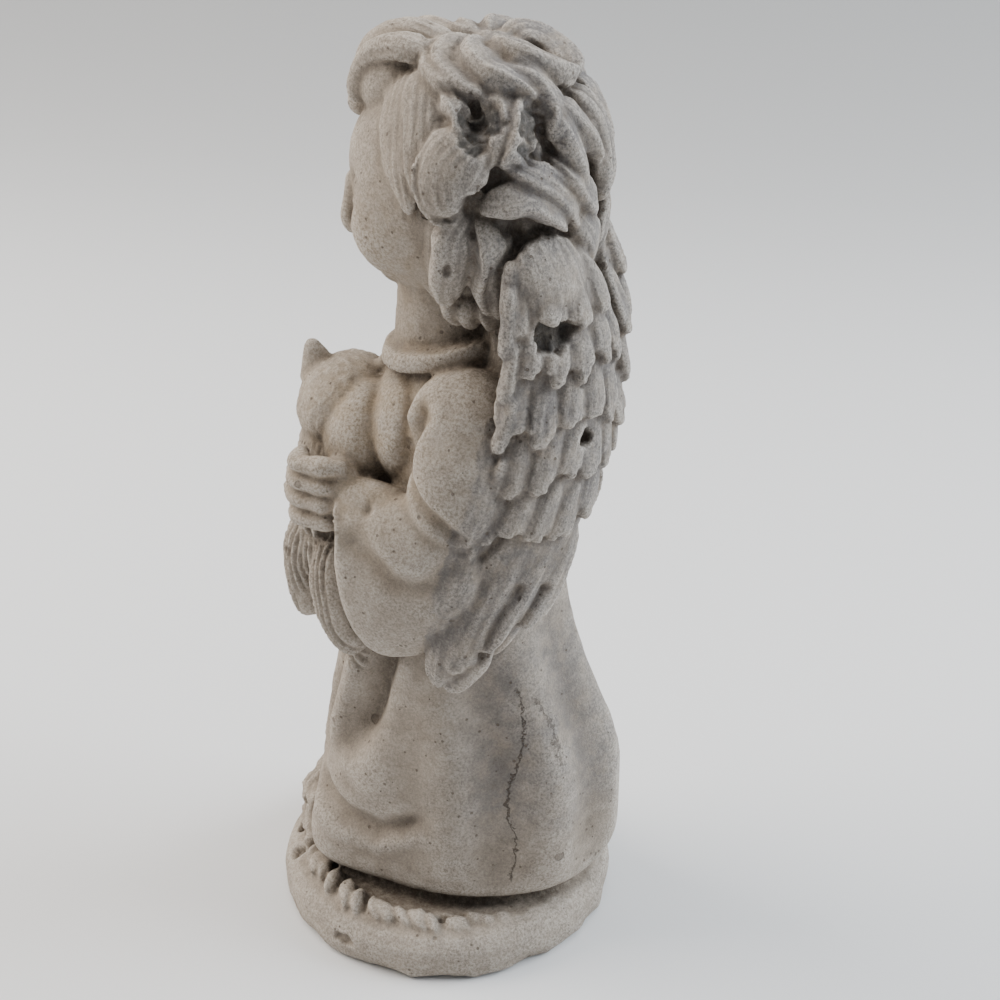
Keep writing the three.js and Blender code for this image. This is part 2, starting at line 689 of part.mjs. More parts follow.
// Where two folds of the surface touch at a point, each is drawn back a hair so that they part
function parted(geometry) {
  const spots = geometry.attributes.position;
  const corners = geometry.index.array;
  const pulls = Array.from({ length: spots.count }, () => vec(0, 0, 0));
  const spot = vec(0, 0, 0);
  for (let i = 0; i < corners.length; i += 3) {
    for (let k = 0; k < 3; k += 1) {
      spot.fromBufferAttribute(spots, corners[i + k]);
      pulls[corners[i + (k + 1) % 3]].add(spot);
      pulls[corners[i + (k + 2) % 3]].add(spot);
      pulls[corners[i + k]].addScaledVector(spot, -2);
    }
  }
  const owners = new Map();
  for (let i = 0; i < spots.count; i += 1) {
    spot.fromBufferAttribute(spots, i);
    const key = spot.toArray().map((value) => value.toFixed(3)).join(' ');
    owners.set(key, [...(owners.get(key) ?? []), i]);
  }
  for (const touching of owners.values()) {
    if (touching.length < 2) continue;
    for (const i of touching) {
      spot.fromBufferAttribute(spots, i).addScaledVector(pulls[i].normalize(), PARTING);
      spots.setXYZ(i, spot.x, spot.y, spot.z);
    }
  }
  return geometry;
}

const arm = armSolid();
const arms = arm.add(toSolid(mirrored(surfaceOf(arm))));
const roughForm = withoutPockets(bodySolid().add(arms).subtract(groundBlock()));
const body = toSolid(await thinned(roughForm, BODY_TRIANGLES));
const face = toSolid(await thinned(withoutPockets(faceSolid()), FACE_TRIANGLES));
const carved = parted(surfaceOf(withoutPockets(body.add(face))));
carved.computeVertexNormals();

const stone = new THREE.MeshStandardMaterial({ color: 0xb8ada2, roughness: 0.95, metalness: 0 });
const casting = new THREE.Mesh(carved, stone);
casting.name = 'cherub_statue';

const part = new THREE.Group();
part.name = 'garden_cherub';
part.add(casting);

export default part;
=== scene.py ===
# %% [markdown]
# # A small stone angel with a kitten
#
# The real thing is one casting in a sandy, cement-bound stone, about 24 cm tall. It was made by
# pouring a wet mix into a rubber mould, so it has soft folds, crisp lock edges where the mould was
# sharp, pinholes where air was trapped, and years of grime in its hollows; the finish darkens those
# hollows with that grime and painted shade together.
# We build it the way a modeller works in clay: each form is shaped from a ball, all of them are
# pressed together, and then the surface is combed, chipped and weathered.

# %% Open the fixed frame
import math

import bpy
import numpy as np
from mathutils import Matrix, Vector
from mathutils.bvhtree import BVHTree
from mathutils.kdtree import KDTree


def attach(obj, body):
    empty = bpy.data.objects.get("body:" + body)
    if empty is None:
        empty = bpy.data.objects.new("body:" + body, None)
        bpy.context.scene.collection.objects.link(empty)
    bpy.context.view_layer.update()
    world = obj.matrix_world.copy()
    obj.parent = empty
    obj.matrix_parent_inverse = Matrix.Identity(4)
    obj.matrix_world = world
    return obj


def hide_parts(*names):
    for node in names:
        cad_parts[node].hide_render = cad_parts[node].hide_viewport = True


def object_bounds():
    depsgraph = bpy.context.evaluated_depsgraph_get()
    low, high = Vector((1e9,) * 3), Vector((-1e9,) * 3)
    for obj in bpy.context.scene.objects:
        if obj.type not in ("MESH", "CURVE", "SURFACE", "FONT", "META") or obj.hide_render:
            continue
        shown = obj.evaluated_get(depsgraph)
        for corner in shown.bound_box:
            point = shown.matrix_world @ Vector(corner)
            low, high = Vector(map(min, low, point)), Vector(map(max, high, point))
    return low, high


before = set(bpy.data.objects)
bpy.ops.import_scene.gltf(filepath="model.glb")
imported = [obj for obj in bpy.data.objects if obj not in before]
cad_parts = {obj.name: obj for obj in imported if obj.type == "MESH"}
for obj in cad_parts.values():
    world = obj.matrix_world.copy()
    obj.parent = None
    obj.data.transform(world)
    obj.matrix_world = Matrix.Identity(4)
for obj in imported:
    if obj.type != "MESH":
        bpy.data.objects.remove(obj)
cad_low, cad_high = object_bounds()
NODE = "cherub_statue"
MM = cad_high.z / 240  # one millimetre on a statue 240 mm tall
print("frame", [round(v / MM, 1) for v in (*cad_low, *cad_high)])

# %% [markdown]
# ## Small tools
#
# Every form here is a function of two numbers: how far round a ball a point sits, and how far
# along it from foot to crown. A UV sphere gives us those points evenly and stays closed at both
# poles, so whatever we turn it into is a closed lump of clay.

# %% Number helpers


def mix(a, b, t):
    return a + (b - a) * t


def bump(x, width):
    return np.exp(-((x / width) ** 2))


def smooth(low, high, x):
    t = np.clip((x - low) / (high - low), 0, 1)
    return t * t * (3 - 2 * t)


def along(pairs, t):
    places, values = zip(*pairs)
    return np.interp(t, places, values)


def unit(rows):
    return rows / np.maximum(np.linalg.norm(rows, axis=-1, keepdims=True), 1e-9)


def points(x, y, z):
    return np.stack(np.broadcast_arrays(x, y, z), axis=-1).astype(float)


def curve(path, t):
    """Points on a smooth line through the path, at shares t of its length."""
    path = np.asarray(path, float)
    path = np.vstack([2 * path[0] - path[1], path, 2 * path[-1] - path[-2]])
    place = np.clip(t, 0, 1) * (len(path) - 3)
    i = np.minimum(place.astype(int), len(path) - 4)
    f = (place - i)[:, None]
    a, b, c, d = path[i], path[i + 1], path[i + 2], path[i + 3]
    bend = (2 * a - 5 * b + 4 * c - d) * f**2 + (3 * b - a - 3 * c + d) * f**3
    return 0.5 * (2 * b + (c - a) * f + bend)


def deselect_all():
    if bpy.context.object and bpy.context.object.mode != "OBJECT":
        bpy.ops.object.mode_set(mode="OBJECT")
    bpy.ops.object.select_all(action="DESELECT")


def pick(obj):
    deselect_all()
    obj.select_set(True)
    bpy.context.view_layer.objects.active = obj


def get_points(obj):
    flat = np.empty(len(obj.data.vertices) * 3)
    obj.data.vertices.foreach_get("co", flat)
    return flat.reshape(-1, 3) / MM


def set_points(obj, places):
    obj.data.vertices.foreach_set("co", (places * MM).ravel())
    obj.data.update()


# %% Clay: balls, lumps and strands
clay = []


def ball(name, segments, rings, place):
    """A UV sphere whose points are moved by place(around, share).

    around is -0.5 to 0.5 with 0 at the front; share is 0 at the foot pole and 1 at the crown.
    """
    deselect_all()
    bpy.ops.mesh.primitive_uv_sphere_add(segments=segments, ring_count=rings, radius=1)
    lump_made = bpy.context.object
    lump_made.name = name
    x, y, z = (get_points(lump_made) * MM).T
    around = np.arctan2(x, -y) / (2 * math.pi)
    share = 0.5 + np.arcsin(np.clip(z, -1, 1)) / math.pi
    set_points(lump_made, place(around, share))
    clay.append(lump_made)
    return lump_made


def turned(rows, degrees_xyz):
    """Rows of points turned about x, then y, then z."""
    for axis, degrees in enumerate(degrees_xyz):
        c, s = math.cos(math.radians(degrees)), math.sin(math.radians(degrees))
        i, j = [(1, 2), (2, 0), (0, 1)][axis]
        a, b = rows[:, i].copy(), rows[:, j].copy()
        rows[:, i], rows[:, j] = a * c - b * s, a * s + b * c
    return rows


def lump(name, centre, radii, turn=(0, 0, 0), detail=24):
    def place(around, share):
        a, b = around * 2 * math.pi, (share - 0.5) * math.pi
        rows = points(np.sin(a) * np.cos(b), -np.cos(a) * np.cos(b), np.sin(b))
        return turned(rows * radii, turn) + centre

    return ball(name, detail, detail * 2 // 3, place)


combs = []  # every combed strand's crest: its kind, points, direction across, and mm along
CREST_POINTS = 25


def profile(given):
    """A measure along a strand: a function of the share, a number, or (share, mm) pairs."""
    if callable(given):
        return given
    return lambda t: along(given, t) if isinstance(given, list) else given + 0 * t


def strand(name, path, wide, high, inside, crest=0.0, lean=0.0, kind=None, detail=(16, 24)):
    """A strand along a path. crest 0 is round and 1 a sharp ridge; lean moves it sideways."""
    inside = np.asarray(inside, float)
    wide, high = profile(wide), profile(high)

    def guides(t):
        spot = curve(path, t)
        ahead = unit(curve(path, t + 0.02) - curve(path, t - 0.02))
        out = spot - inside
        out = unit(out - ahead * np.sum(out * ahead, axis=1, keepdims=True))
        return spot, ahead, out, np.cross(ahead, out)

    def place(around, share):
        spot, ahead, out, across = guides(share)
        c, s = np.cos(around * 2 * math.pi), np.sin(around * 2 * math.pi)
        full = np.sqrt(1 - np.abs(2 * share - 1) ** 6)
        side = np.where(c > lean, (c - lean) / (1 - lean), (lean - c) / (1 + lean))
        ridge = (1 - np.abs(side) ** mix(2, 1.15, crest)) ** mix(0.5, 0.9, crest)
        up = np.where(s > 0, ridge, s)
        u, v = c * wide(share) * full, up * high(share) * full
        return spot + across * u[:, None] + out * v[:, None]

    if kind:
        t = np.linspace(0, 1, CREST_POINTS)
        spot, ahead, out, across = guides(t)
        length = np.linalg.norm(np.diff(spot, axis=0), axis=1).sum()
        combs.append((kind, spot + out * high(t)[:, None], across, t * length))
    return ball(name, *detail, place)


def mirror_copy(obj):
    twin = obj.copy()
    twin.data = obj.data.copy()
    bpy.context.collection.objects.link(twin)
    places = get_points(twin)
    places[:, 0] *= -1
    set_points(twin, places)
    twin.data.flip_normals()
    clay.append(twin)
    return twin


def both_sides(objs):
    return [*objs, *(mirror_copy(o) for o in objs)]


def mirror_combs(start):
    flip = np.array([-1, 1, 1])
    for kind, line, across, t in combs[start:]:
        combs.append((kind, line * flip, across * flip, t))


# %% [markdown]
# ## The base
#
# A low round disc with a rolled rim. Between the rim and the hem runs a ring of carved leaves,
# crisp at the front and left and worn away towards the back. We sweep the profile round by moving
# a ball's points, then press on curled leaves as small strands.

# %% Base disc and leaf ring
BASE_PROFILE = [
    (0, 0), (43.5, 0), (45.4, 1.8), (46, 5), (45, 8.6), (42.4, 11.4),
    (39.6, 12.4), (37, 12.2), (34.4, 12.6), (31, 12), (0, 12),
]


def base_disc(around, share):
    steps = np.array([math.dist(a, b) for a, b in zip(BASE_PROFILE, BASE_PROFILE[1:])])
    walked = np.concatenate([[0], np.cumsum(steps)])
    spots = np.array(BASE_PROFILE, float)
    # more rings go to the rim and the leaf ring than to the flat underside
    reach = mix(walked[0], walked[-1], along([(0, 0), (0.15, 0.42), (0.85, 0.75), (1, 1)], share))
    radius, up = np.interp(reach, walked, spots[:, 0]), np.interp(reach, walked, spots[:, 1])
    angle = around * 2 * math.pi
    uneven = 0.35 * np.sin(angle * 7 + 1) + 0.3 * np.sin(angle * 13) + 0.2 * np.sin(angle * 23 + 2)
    uneven = uneven * smooth(40, 44, radius) * smooth(7, 1, up)
    radius = radius + uneven - 0.4 * smooth(44, 46, radius)
    return points(np.sin(angle) * radius, -np.cos(angle) * radius, up)


ball("base_disc", 180, 60, base_disc)


def ring_spot(turn, radius, up):
    a = math.radians(turn)
    return (math.sin(a) * radius, -math.cos(a) * radius, up)


dice = np.random.default_rng(7)
LEAVES = 46
FIRST_LEAF, LAST_LEAF = -100, 128  # turns, with 0 at the front
for i in range(LEAVES):
    turn = mix(FIRST_LEAF, LAST_LEAF, i / LEAVES) + dice.uniform(-2, 2)
    worn = float(smooth(-110, -85, turn) * (1 - smooth(80, 130, turn)))
    inner, outer = 33.5 + dice.uniform(-1, 1), 40.5 + dice.uniform(-1.5, 0.8)
    twist = dice.uniform(3, 8)
    up = 11.6 + 1.2 * worn
    path = [ring_spot(turn, inner, up),
            ring_spot(turn + twist * 0.3, mix(inner, outer, 0.5), up + 0.9),
            ring_spot(turn + twist, outer, up - 0.6)]
    strand("leaf", path, lambda t: 1.5 * np.sin(math.pi * np.clip(t, 0.1, 0.95)) + 0.3,
           0.6 + 1.4 * worn, (0, 0, -60), crest=0.5, lean=0.4, detail=(10, 12))
print("base and", LEAVES, "leaves")

# %% [markdown]
# ## Bank of foliage
#
# Packed knobbly leaves rise against the front of the robe. Each lump's points are pushed in and
# out by a few crossed waves, which reads as leaves once grime and painted shade darken between
# them.

# %% Foliage bank


def knobbly(obj, depth):
    rows = get_points(obj)
    x, y, z = rows.T
    knob = np.sin(x * 0.9 + z * 0.5) + np.sin(y * 0.8 - z * 0.9 + 1) + np.sin(z * 0.7 + x * 0.4)
    fine = np.sin(x * 2.1 - y * 1.3) * np.sin(z * 1.9 + y)
    set_points(obj, rows + unit(rows - rows.mean(0)) * (depth * (knob / 3 + 0.35 * fine))[:, None])


knobbly(lump("foliage", (-7, -29, 13), (21, 14.5, 14), (8, 0, 6), 60), 2)
knobbly(lump("foliage", (-9, -27.5, 27), (14, 8.5, 19), (12, 0, 12), 50), 1.8)
knobbly(lump("foliage", (-27, -22, 13), (11, 10, 8), (0, 0, 40), 40), 1.6)

# %% [markdown]
# ## The robe
#
# One long bell of cloth. Its outline is a short list of rings, and the folds are added as
# millimetres in or out of that outline, so the skirt flares and the folds deepen towards the hem.

# %% Robe
ROBE = [  # height, centre depth, half width, half depth
    (8, 6, 25.6, 34.6), (14, 6, 26.4, 35.4), (16.4, 6, 29.4, 38.4), (19, 6, 30.7, 39.7),
    (23, 6, 31, 40), (29, 6, 30.8, 40), (40, 6.3, 29.8, 39.8), (52, 6.6, 28.6, 39),
    (62, 5.6, 27.6, 36), (76, 4.3, 26.6, 32),
    (93, 4, 26, 28), (112, 6, 26.5, 25), (132, 8, 27.5, 22), (146, 9, 28, 20),
    (155, 9, 23.5, 17), (161, 8, 16.5, 13.5), (167, 6, 11, 11),
]


CREASE = [(20, 39), (31, 37.5), (48, 34.5), (64, 33.5), (82, 39.5)]  # turn and height over the foot
FRONT_VALLEY = 20  # turn
SIDE_VALLEY, VALLEY_HEIGHT, VALLEY_SLANT = 50, 57, 0.4  # its turn at that height, degrees a mm
KNEE_TURN, KNEE_HEIGHT = 58, 51
FOOT_TURN, FOOT_HEIGHT = 36, 21
BACK_PLEATS = 8  # in a full turn


def fold_depth(turn, height):
    side = np.abs(turn)
    under = 1 - smooth(92, 106, height)
    front_valley = -4 * bump(side - FRONT_VALLEY, 7) * smooth(36, 58, height) * under
    valley_at = SIDE_VALLEY + VALLEY_SLANT * (height - VALLEY_HEIGHT)
    valley = -6.5 * bump(side - valley_at, 8) * smooth(48, 64, height) * under
    knee = 2.6 * bump(side - KNEE_TURN, 17) * bump(height - KNEE_HEIGHT, 11)
    column = 2.2 * bump(side - valley_at + 15, 8) * smooth(44, 60, height) * under
    over_foot = 6 * bump(side - FOOT_TURN, 19) * bump(height - FOOT_HEIGHT, 17)
    crease_at = along(CREASE, side)
    across_foot = smooth(20, 34, side) * (1 - smooth(76, 90, side))
    crease = -2.8 * bump(height - crease_at, 3) * across_foot
    lip = 1.2 * bump(height - crease_at + 5, 3) * across_foot
    deepening = (1 - smooth(50, 116, height)) * smooth(14, 30, height)
    back = 2.4 * np.cos(np.radians(side * BACK_PLEATS)) * smooth(66, 110, side) * deepening
    return front_valley + valley + knee + column + over_foot + crease + lip + back


def robe_measure(height, item):
    ease = 7 * smooth(20, 40, height)
    rings = [(ring[0], ring[item]) for ring in ROBE]
    return (along(rings, height - ease) + along(rings, height) + along(rings, height + ease)) / 3


def robe(around, share):
    height = mix(ROBE[0][0], ROBE[-1][0], share)
    turn = around * 360
    fold = fold_depth(turn, height)
    closed = np.where((share < 1e-4) | (share > 1 - 1e-4), 0, 1)
    half_wide, half_deep = robe_measure(height, 2) + fold, robe_measure(height, 3) + fold
    x = np.sin(np.radians(turn)) * half_wide * closed
    y = robe_measure(height, 1) - np.cos(np.radians(turn)) * half_deep * closed
    return points(x, y, height)


ball("robe", 200, 150, robe)
lump("upper_back", (0, 22, 150), (20, 15, 34), (-4, 0, 0), 40)
lump("chest", (1, -4.5, 143), (23, 11.5, 16.5), (0, 0, 0), 48)

# %% [markdown]
# ## Arms, sleeves and hands
#
# The sleeve is a wide bell whose mouth is hollow. A Boolean takes the hollow out before the clay
# is pressed together. The four fingers lie one above the other on the kitten's fur.

# %% Arms


def cut_out(obj, cutter):
    pick(obj)
    cut = obj.modifiers.new("hollow", "BOOLEAN")
    cut.operation = "DIFFERENCE"
    cut.solver = "EXACT"
    cut.object = cutter
    bpy.ops.object.modifier_apply(modifier=cut.name)
    clay.remove(cutter)
    bpy.data.objects.remove(cutter)


upper_arm = strand(
    "upper_arm", [(13, 10, 161.5), (21.5, 12, 154), (27.5, 12.5, 140), (28.5, 9, 122)],
    [(0, 9), (0.35, 14), (1, 12)],
    [(0, 6), (0.4, 9.5), (1, 10)],
    (0, 10, 140), detail=(48, 40))
bell = strand(
    "sleeve", [(26, 16, 127), (29, 8, 121), (28, -2, 114.5), (26, -11, 110), (24.5, -17.5, 109)],
    [(0, 10), (0.25, 17), (0.55, 22), (0.85, 23.5), (1, 22)],
    [(0, 7), (0.4, 10.5), (1, 9.5)], (4, 0, 114), detail=(64, 60))
hollow = strand(
    "sleeve_hollow", [(26, -9, 110), (24.3, -17, 108.5), (22.5, -26, 107.5)],
    [(0, 10), (0.5, 19), (1, 20.5)],
    [(0, 4), (0.5, 7), (1, 8.4)],
    (4, 0, 110), detail=(48, 20))
cut_out(bell, hollow)
forearm = strand(
    "forearm", [(27, 0, 125), (25.5, -10, 127.5), (23, -19, 129.5)],
    lambda t: mix(9, 7.4, t), lambda t: mix(8, 5.6, t), (6, 0, 126), detail=(32, 20))
palm = lump("palm", (22.5, -19, 131), (5, 7, 8.8), (0, 0, -20), 32)
fingers = []
FIRST_FINGER, FINGER_STEP = 138, 4.9
FINGER_TIPS = [-30.5, -33.5, -34.5, -33]
for i, reach in enumerate(FINGER_TIPS):
    level = FIRST_FINGER - i * FINGER_STEP
    path = [(24.5, -16, level), (25.6, -22, level + 0.4), (23.6, -28.5, level),
            (15, reach, level - 0.8)]
    fingers.append(strand(
        "finger", path, lambda t: 2.3 + 0.2 * np.cos(t * 16),
        lambda t: 2.7 + 0.35 * np.cos(t * 16 + 1), (0, -16, level), detail=(20, 36)))
both_sides([upper_arm, bell, forearm, palm, *fingers])
print("arms with", len(fingers), "fingers a side")

# %% [markdown]
# ## The kitten
#
# A body, a round head looking to the child's right, ears, and legs that hang below the hands.
# Its coat is locks of fur laid over the body.

# %% Kitten
lump("kitten_body", (0, -21.5, 120), (19, 15.5, 28), (6, 0, 0), 60)
lump("kitten_head", (0, -22.5, 143.5), (15.5, 13.5, 13), detail=60)
lump("kitten_shoulder", (6, -16, 138), (16.5, 11.5, 16), detail=40)
for y in (-17.5, -28.5):
    lump("kitten_cheek", (-10, y, 139), (6.5, 6, 5.5), detail=24)
lump("kitten_muzzle", (-15.5, -23, 139.5), (4.4, 4.8, 3.6), detail=24)
lump("kitten_nose", (-19.4, -23, 141.4), (1.3, 1.8, 1.2), detail=12)
for y in (-18.5, -27.5):
    lump("kitten_eye", (-13.2, y, 145.6), (2, 2.4, 2), detail=16)
for y, lean in ((-30, -1.5), (-14, 1.5)):
    strand("kitten_ear", [(0, y, 148), (-1, y + lean, 154), (-1, y + 2 * lean, 159.5)],
           lambda t: mix(6.5, 1.4, t), lambda t: mix(4.5, 1.2, t), (20, y, 150), detail=(24, 20))

leg = strand(
    "kitten_leg", [(7, -30, 118), (9, -34, 106), (9, -33.5, 95), (8.5, -31.5, 87)],
    [(0, 6), (0.4, 7.5), (0.75, 5.6), (1, 6.2)], 5,
    (0, -5, 108), kind="fur", detail=(32, 32))
mirror_copy(leg)
strand(
    "kitten_tail", [(15, -22, 116), (18.5, -23, 103), (19, -20.5, 92), (18.5, -15, 84.5)],
    [(0, 7), (0.4, 7), (1, 5.4)], 6, (0, -5, 108), kind="fur",
    detail=(32, 32))
TUFTS = 26
FIRST_TUFT, LAST_TUFT = -66, 72  # turns
TUFT_TOP, TUFT_ROW_STEP = 132, 13
for i in range(TUFTS):
    row = i % 2
    turn = mix(FIRST_TUFT, LAST_TUFT, i / (TUFTS - 1))
    top = TUFT_TOP - TUFT_ROW_STEP * row + dice.uniform(-2, 2)
    path = []
    for drop, out in ((0, -2.5), (8, 0.4), (18 + dice.uniform(-2, 3), 0.6)):
        a = math.radians(turn + drop * 0.2)
        path.append((math.sin(a) * (18.5 + out), -21.5 - math.cos(a) * (15 + out), top - drop))
    strand("fur", path, lambda t: mix(2.4, 1.2, t), 2, (0, -20, top - 8),
           crest=0.6, kind="fur", detail=(10, 14))
print("kitten with", TUFTS, "locks of fur")

# %% [markdown]
# ## Head, face, neck and collar
#
# The head is an egg with swellings and hollows added by direction: cheeks, brow, chin and eye
# sockets. The features are small strands and lumps laid on it. The points are crowded to the
# front, where the small features sit.

# %% Head and face
HEAD_CENTRE = np.array([0, 5.5, 203])
HEAD_RADII = np.array([22.5, 24.5, 29])
FACE_FORMS = [  # turn, rise, half width, depth
    (38, -24, 22, 3.2), (0, -50, 15, 3.4), (0, 16, 26, 1.4), (21, -2, 10, -2.6),
    (0, -33, 13, 1.6), (16, -33, 7, -0.8),
]


def face_swell(turn, rise):
    return sum(depth * bump(np.hypot(np.abs(turn) - side, (rise - up) * 1.15), width)
               for side, up, width, depth in FACE_FORMS)


def head(around, share):
    even = around * 360
    turn = even - 26 * np.sin(np.radians(even))
    rise = (share - 0.5) * 180
    a, b = np.radians(turn), np.radians(rise)
    reach = points(np.sin(a) * np.cos(b), -np.cos(a) * np.cos(b), np.sin(b)) * HEAD_RADII
    reach[:, 0] *= 1 - 0.05 * smooth(15, 70, -rise)
    length = np.linalg.norm(reach, axis=1)
    return reach * ((length + face_swell(turn, rise)) / length)[:, None] + HEAD_CENTRE


def on_face(x, z, out):
    up, side = (z - HEAD_CENTRE[2]) / HEAD_RADII[2], x / HEAD_RADII[0]
    bare = HEAD_CENTRE[1] - HEAD_RADII[1] * math.sqrt(1 - up * up - side * side)
    rise = math.degrees(math.asin(up))
    turn = math.degrees(math.asin(side / math.sqrt(1 - up * up)))
    return np.array([x, bare - face_swell(turn, rise) - out, z])


ball("head", 150, 110, head)
EYE, NOSE, MOUTH = 201, 190.5, 184.6
BEHIND_FACE = (0, 5, 195)


def feature(name, spots, wide, high, **shape):
    """A strand laid on the face along spots of (x, z, how far out)."""
    path = [on_face(*spot) for spot in spots]
    return strand(name, path, wide, high, BEHIND_FACE, **shape)


feature("nose", [(0, 204, -1), (0, 198, 0.6), (0, NOSE + 1.5, 2.6), (0, NOSE - 1.5, 0.4)],
        [(0, 1.8), (0.65, 2.8), (1, 2.6)], 2.4, detail=(24, 24))
feature("upper_lip", [(-5, MOUTH + 0.6, -0.6), (0, MOUTH + 1.4, 0.3), (5, MOUTH + 0.6, -0.6)],
        lambda t: 0.6 + 0.9 * np.sin(math.pi * t), 1.3)
feature("lower_lip", [(-4, MOUTH - 0.9, -0.8), (0, MOUTH - 2, 0.2), (4, MOUTH - 0.9, -0.8)],
        lambda t: 0.6 + 1.1 * np.sin(math.pi * t), 1.5)
both_sides([
    lump("nostril", on_face(2.7, NOSE, 0.4), (1.9, 1.8, 1.6), detail=16),
    lump("eye", on_face(8.2, EYE, -1.9), (3.6, 2.8, 2.5), detail=24),
    feature("upper_lid", [(4.4, EYE - 0.2, -0.5), (8.2, EYE + 2.7, 0.1), (12, EYE, -0.6)],
            0.9, 1, crest=0.5),
    feature("lower_lid", [(4.8, EYE - 0.8, -0.6), (8.2, EYE - 2.4, -0.1), (11.6, EYE - 0.7, -0.7)],
            0.7, 0.8),
])


def neck(around, share):
    a = around * 2 * math.pi
    radius = np.sin(np.clip(share * 6, 0, 1) * math.pi / 2)
    radius = radius * np.sin(np.clip((1 - share) * 6, 0, 1) * math.pi / 2)
    radius = radius * mix(14.2, 12.2, share)
    up = mix(-19, 19, share)
    return points(np.sin(a) * radius, 3.2 - np.cos(a) * radius + 0.05 * up, 170 + up)


COLLAR_RADIUS = [(0, 0), (0.2, 14), (0.4, 18.4), (0.5, 18.8), (0.62, 18), (0.8, 12), (1, 0)]
COLLAR_RISE = [(0, -3), (0.2, -2.8), (0.42, -2.2), (0.5, 0), (0.62, 2), (0.8, 2.6), (1, 2.6)]


def collar(around, share):
    """A flat band that leans forward: the ball's poles stay hidden inside the neck."""
    a = around * 2 * math.pi
    radius = along(COLLAR_RADIUS, share)
    up = along(COLLAR_RISE, share)
    y = -np.cos(a) * radius * 0.93
    return points(np.sin(a) * radius, 4 + y, 164.6 + up + 0.235 * y)


ball("neck", 60, 30, neck)
ball("collar", 90, 60, collar)

# %% [markdown]
# ## Hair
#
# The head of hair is a grooved mass with separate wavy locks laid on it. Each lock is a strand
# with a crest, so it catches light on its ridge and leaves a dark slit beside its neighbour.

# %% Hair
HAIR_CENTRE = np.array([0, 13, 207])
HAIR_RADII = np.array([26.5, 25.2, 30.5])
HAIR_DROP = 36


def on_hair(turn, rise, lift):
    turn, rise, lift = np.broadcast_arrays(*(np.asarray(v, float) for v in (turn, rise, lift)))
    low = rise < 0
    up = np.sin(np.radians(rise))
    flat = np.where(low, np.sqrt(np.clip(1 - np.abs(up) ** 2.6, 0, 1)), np.cos(np.radians(rise)))
    x = np.sin(np.radians(turn)) * flat * (HAIR_RADII[0] + lift)
    y = -np.cos(np.radians(turn)) * flat * (HAIR_RADII[1] + lift)
    z = up * np.where(low, HAIR_DROP, HAIR_RADII[2] + lift)
    return points(x, y, z) + HAIR_CENTRE


def hair_mass(around, share):
    turn, rise = around * 360, (share - 0.5) * 180
    wave = 6 * np.sin(rise * 0.07 + 0.6) * np.sin(np.radians(np.abs(turn)))
    ridge = np.cos(np.radians(np.abs(turn) * 20)) * 0.7 - 1.9
    fade = smooth(0, 28, 90 - rise) * smooth(0, 24, 90 + rise)
    return on_hair(turn + wave * np.sign(turn), rise, ridge * fade)


ball("hair_mass", 200, 120, hair_mass)

LOCKS = [  # crest as (turn, rise) from root to tip, half width, height, sharpness of the crest
    ([(8, 66), (26, 52), (44, 33), (55, 12), (60, -8)], 8.0, 2.0, 0.1),
    ([(30, 74), (48, 50), (63, 30), (69, 11), (71, -4)], 5.6, 2.6, 0.3),
    ([(40, 84), (34, 67), (52, 54), (73, 48), (89, 45)], 4.2, 3.8, 0.7),
    ([(66, 86), (46, 68), (63, 56), (82, 49), (101, 42)], 4.2, 4.0, 0.7),
    ([(96, 86), (84, 68), (101, 56), (117, 50), (134, 39)], 5.0, 4.6, 0.8),
    ([(120, 84), (130, 71), (150, 58), (168, 49), (184, 44)], 4.8, 3.8, 0.7),
    ([(112, 70), (120, 59), (135, 51), (143, 42), (144, 32), (137, 23)], 4.0, 3.2, 0.6),
    ([(98, 52), (107, 41), (109, 31), (106, 22), (101, 14)], 4.4, 2.8, 0.1),
    ([(130, 45), (123, 37), (121, 29), (116, 21), (109, 14)], 4.2, 4.0, 0.6),
    ([(66, 46), (80, 39), (88, 32), (87, 25)], 2.9, 3.4, 0.5),
    ([(103, 28), (92, 22), (83, 12), (83, 2), (88, -4)], 8.0, 5.2, 0.0),
    ([(88, 27), (76, 23), (70, 12), (72, 2), (80, -5), (90, -6)], 1.5, 4.6, 0.5),
    ([(144, 44), (151, 36), (158, 27), (167, 17), (171, 6)], 4.0, 3.2, 0.6),
    ([(136, 42), (144, 33), (148, 23), (151, 13), (159, -3)], 4.2, 3.4, 0.6),
    ([(170, 44), (178, 31), (180, 18), (178, 4), (175, -9)], 4.6, 3.2, 0.5),
    ([(97, -2), (108, 0), (122, 1), (133, -4), (143, -12)], 4.2, 4.6, 0.8),
    ([(108, 18), (122, 11), (134, 4), (144, -4), (152, -14)], 4.2, 3.4, 0.6),
    ([(138, 18), (147, 7), (157, -3), (168, -12)], 4.2, 3.2, 0.6),
    ([(146, -4), (156, -14), (166, -24), (171, -36)], 4.8, 3.6, 0.5),
    ([(92, -4), (86, -10), (84, -20), (80, -32), (79, -45)], 5.0, 4.8, 0.3),
    ([(97, -4), (103, -14), (104, -22), (101, -34), (106, -52)], 3.8, 4.4, 0.6),
    ([(114, -12), (108, -24), (109, -40), (114, -56)], 4.2, 3.6, 0.5),
    ([(80, -40), (77, -50), (82, -62)], 3.2, 3.4, 0.5),
    ([(88, -42), (87, -53), (91, -65)], 3.2, 3.4, 0.5),
    ([(99, -42), (104, -54), (109, -66)], 3.4, 3.4, 0.5),
    ([(126, -12), (134, -30), (136, -52)], 4.8, 3.4, 0.5),
    ([(150, -24), (155, -42), (157, -60)], 4.8, 3.2, 0.5),
    ([(172, -16), (173, -40), (172, -62)], 4.8, 3.0, 0.5),
]


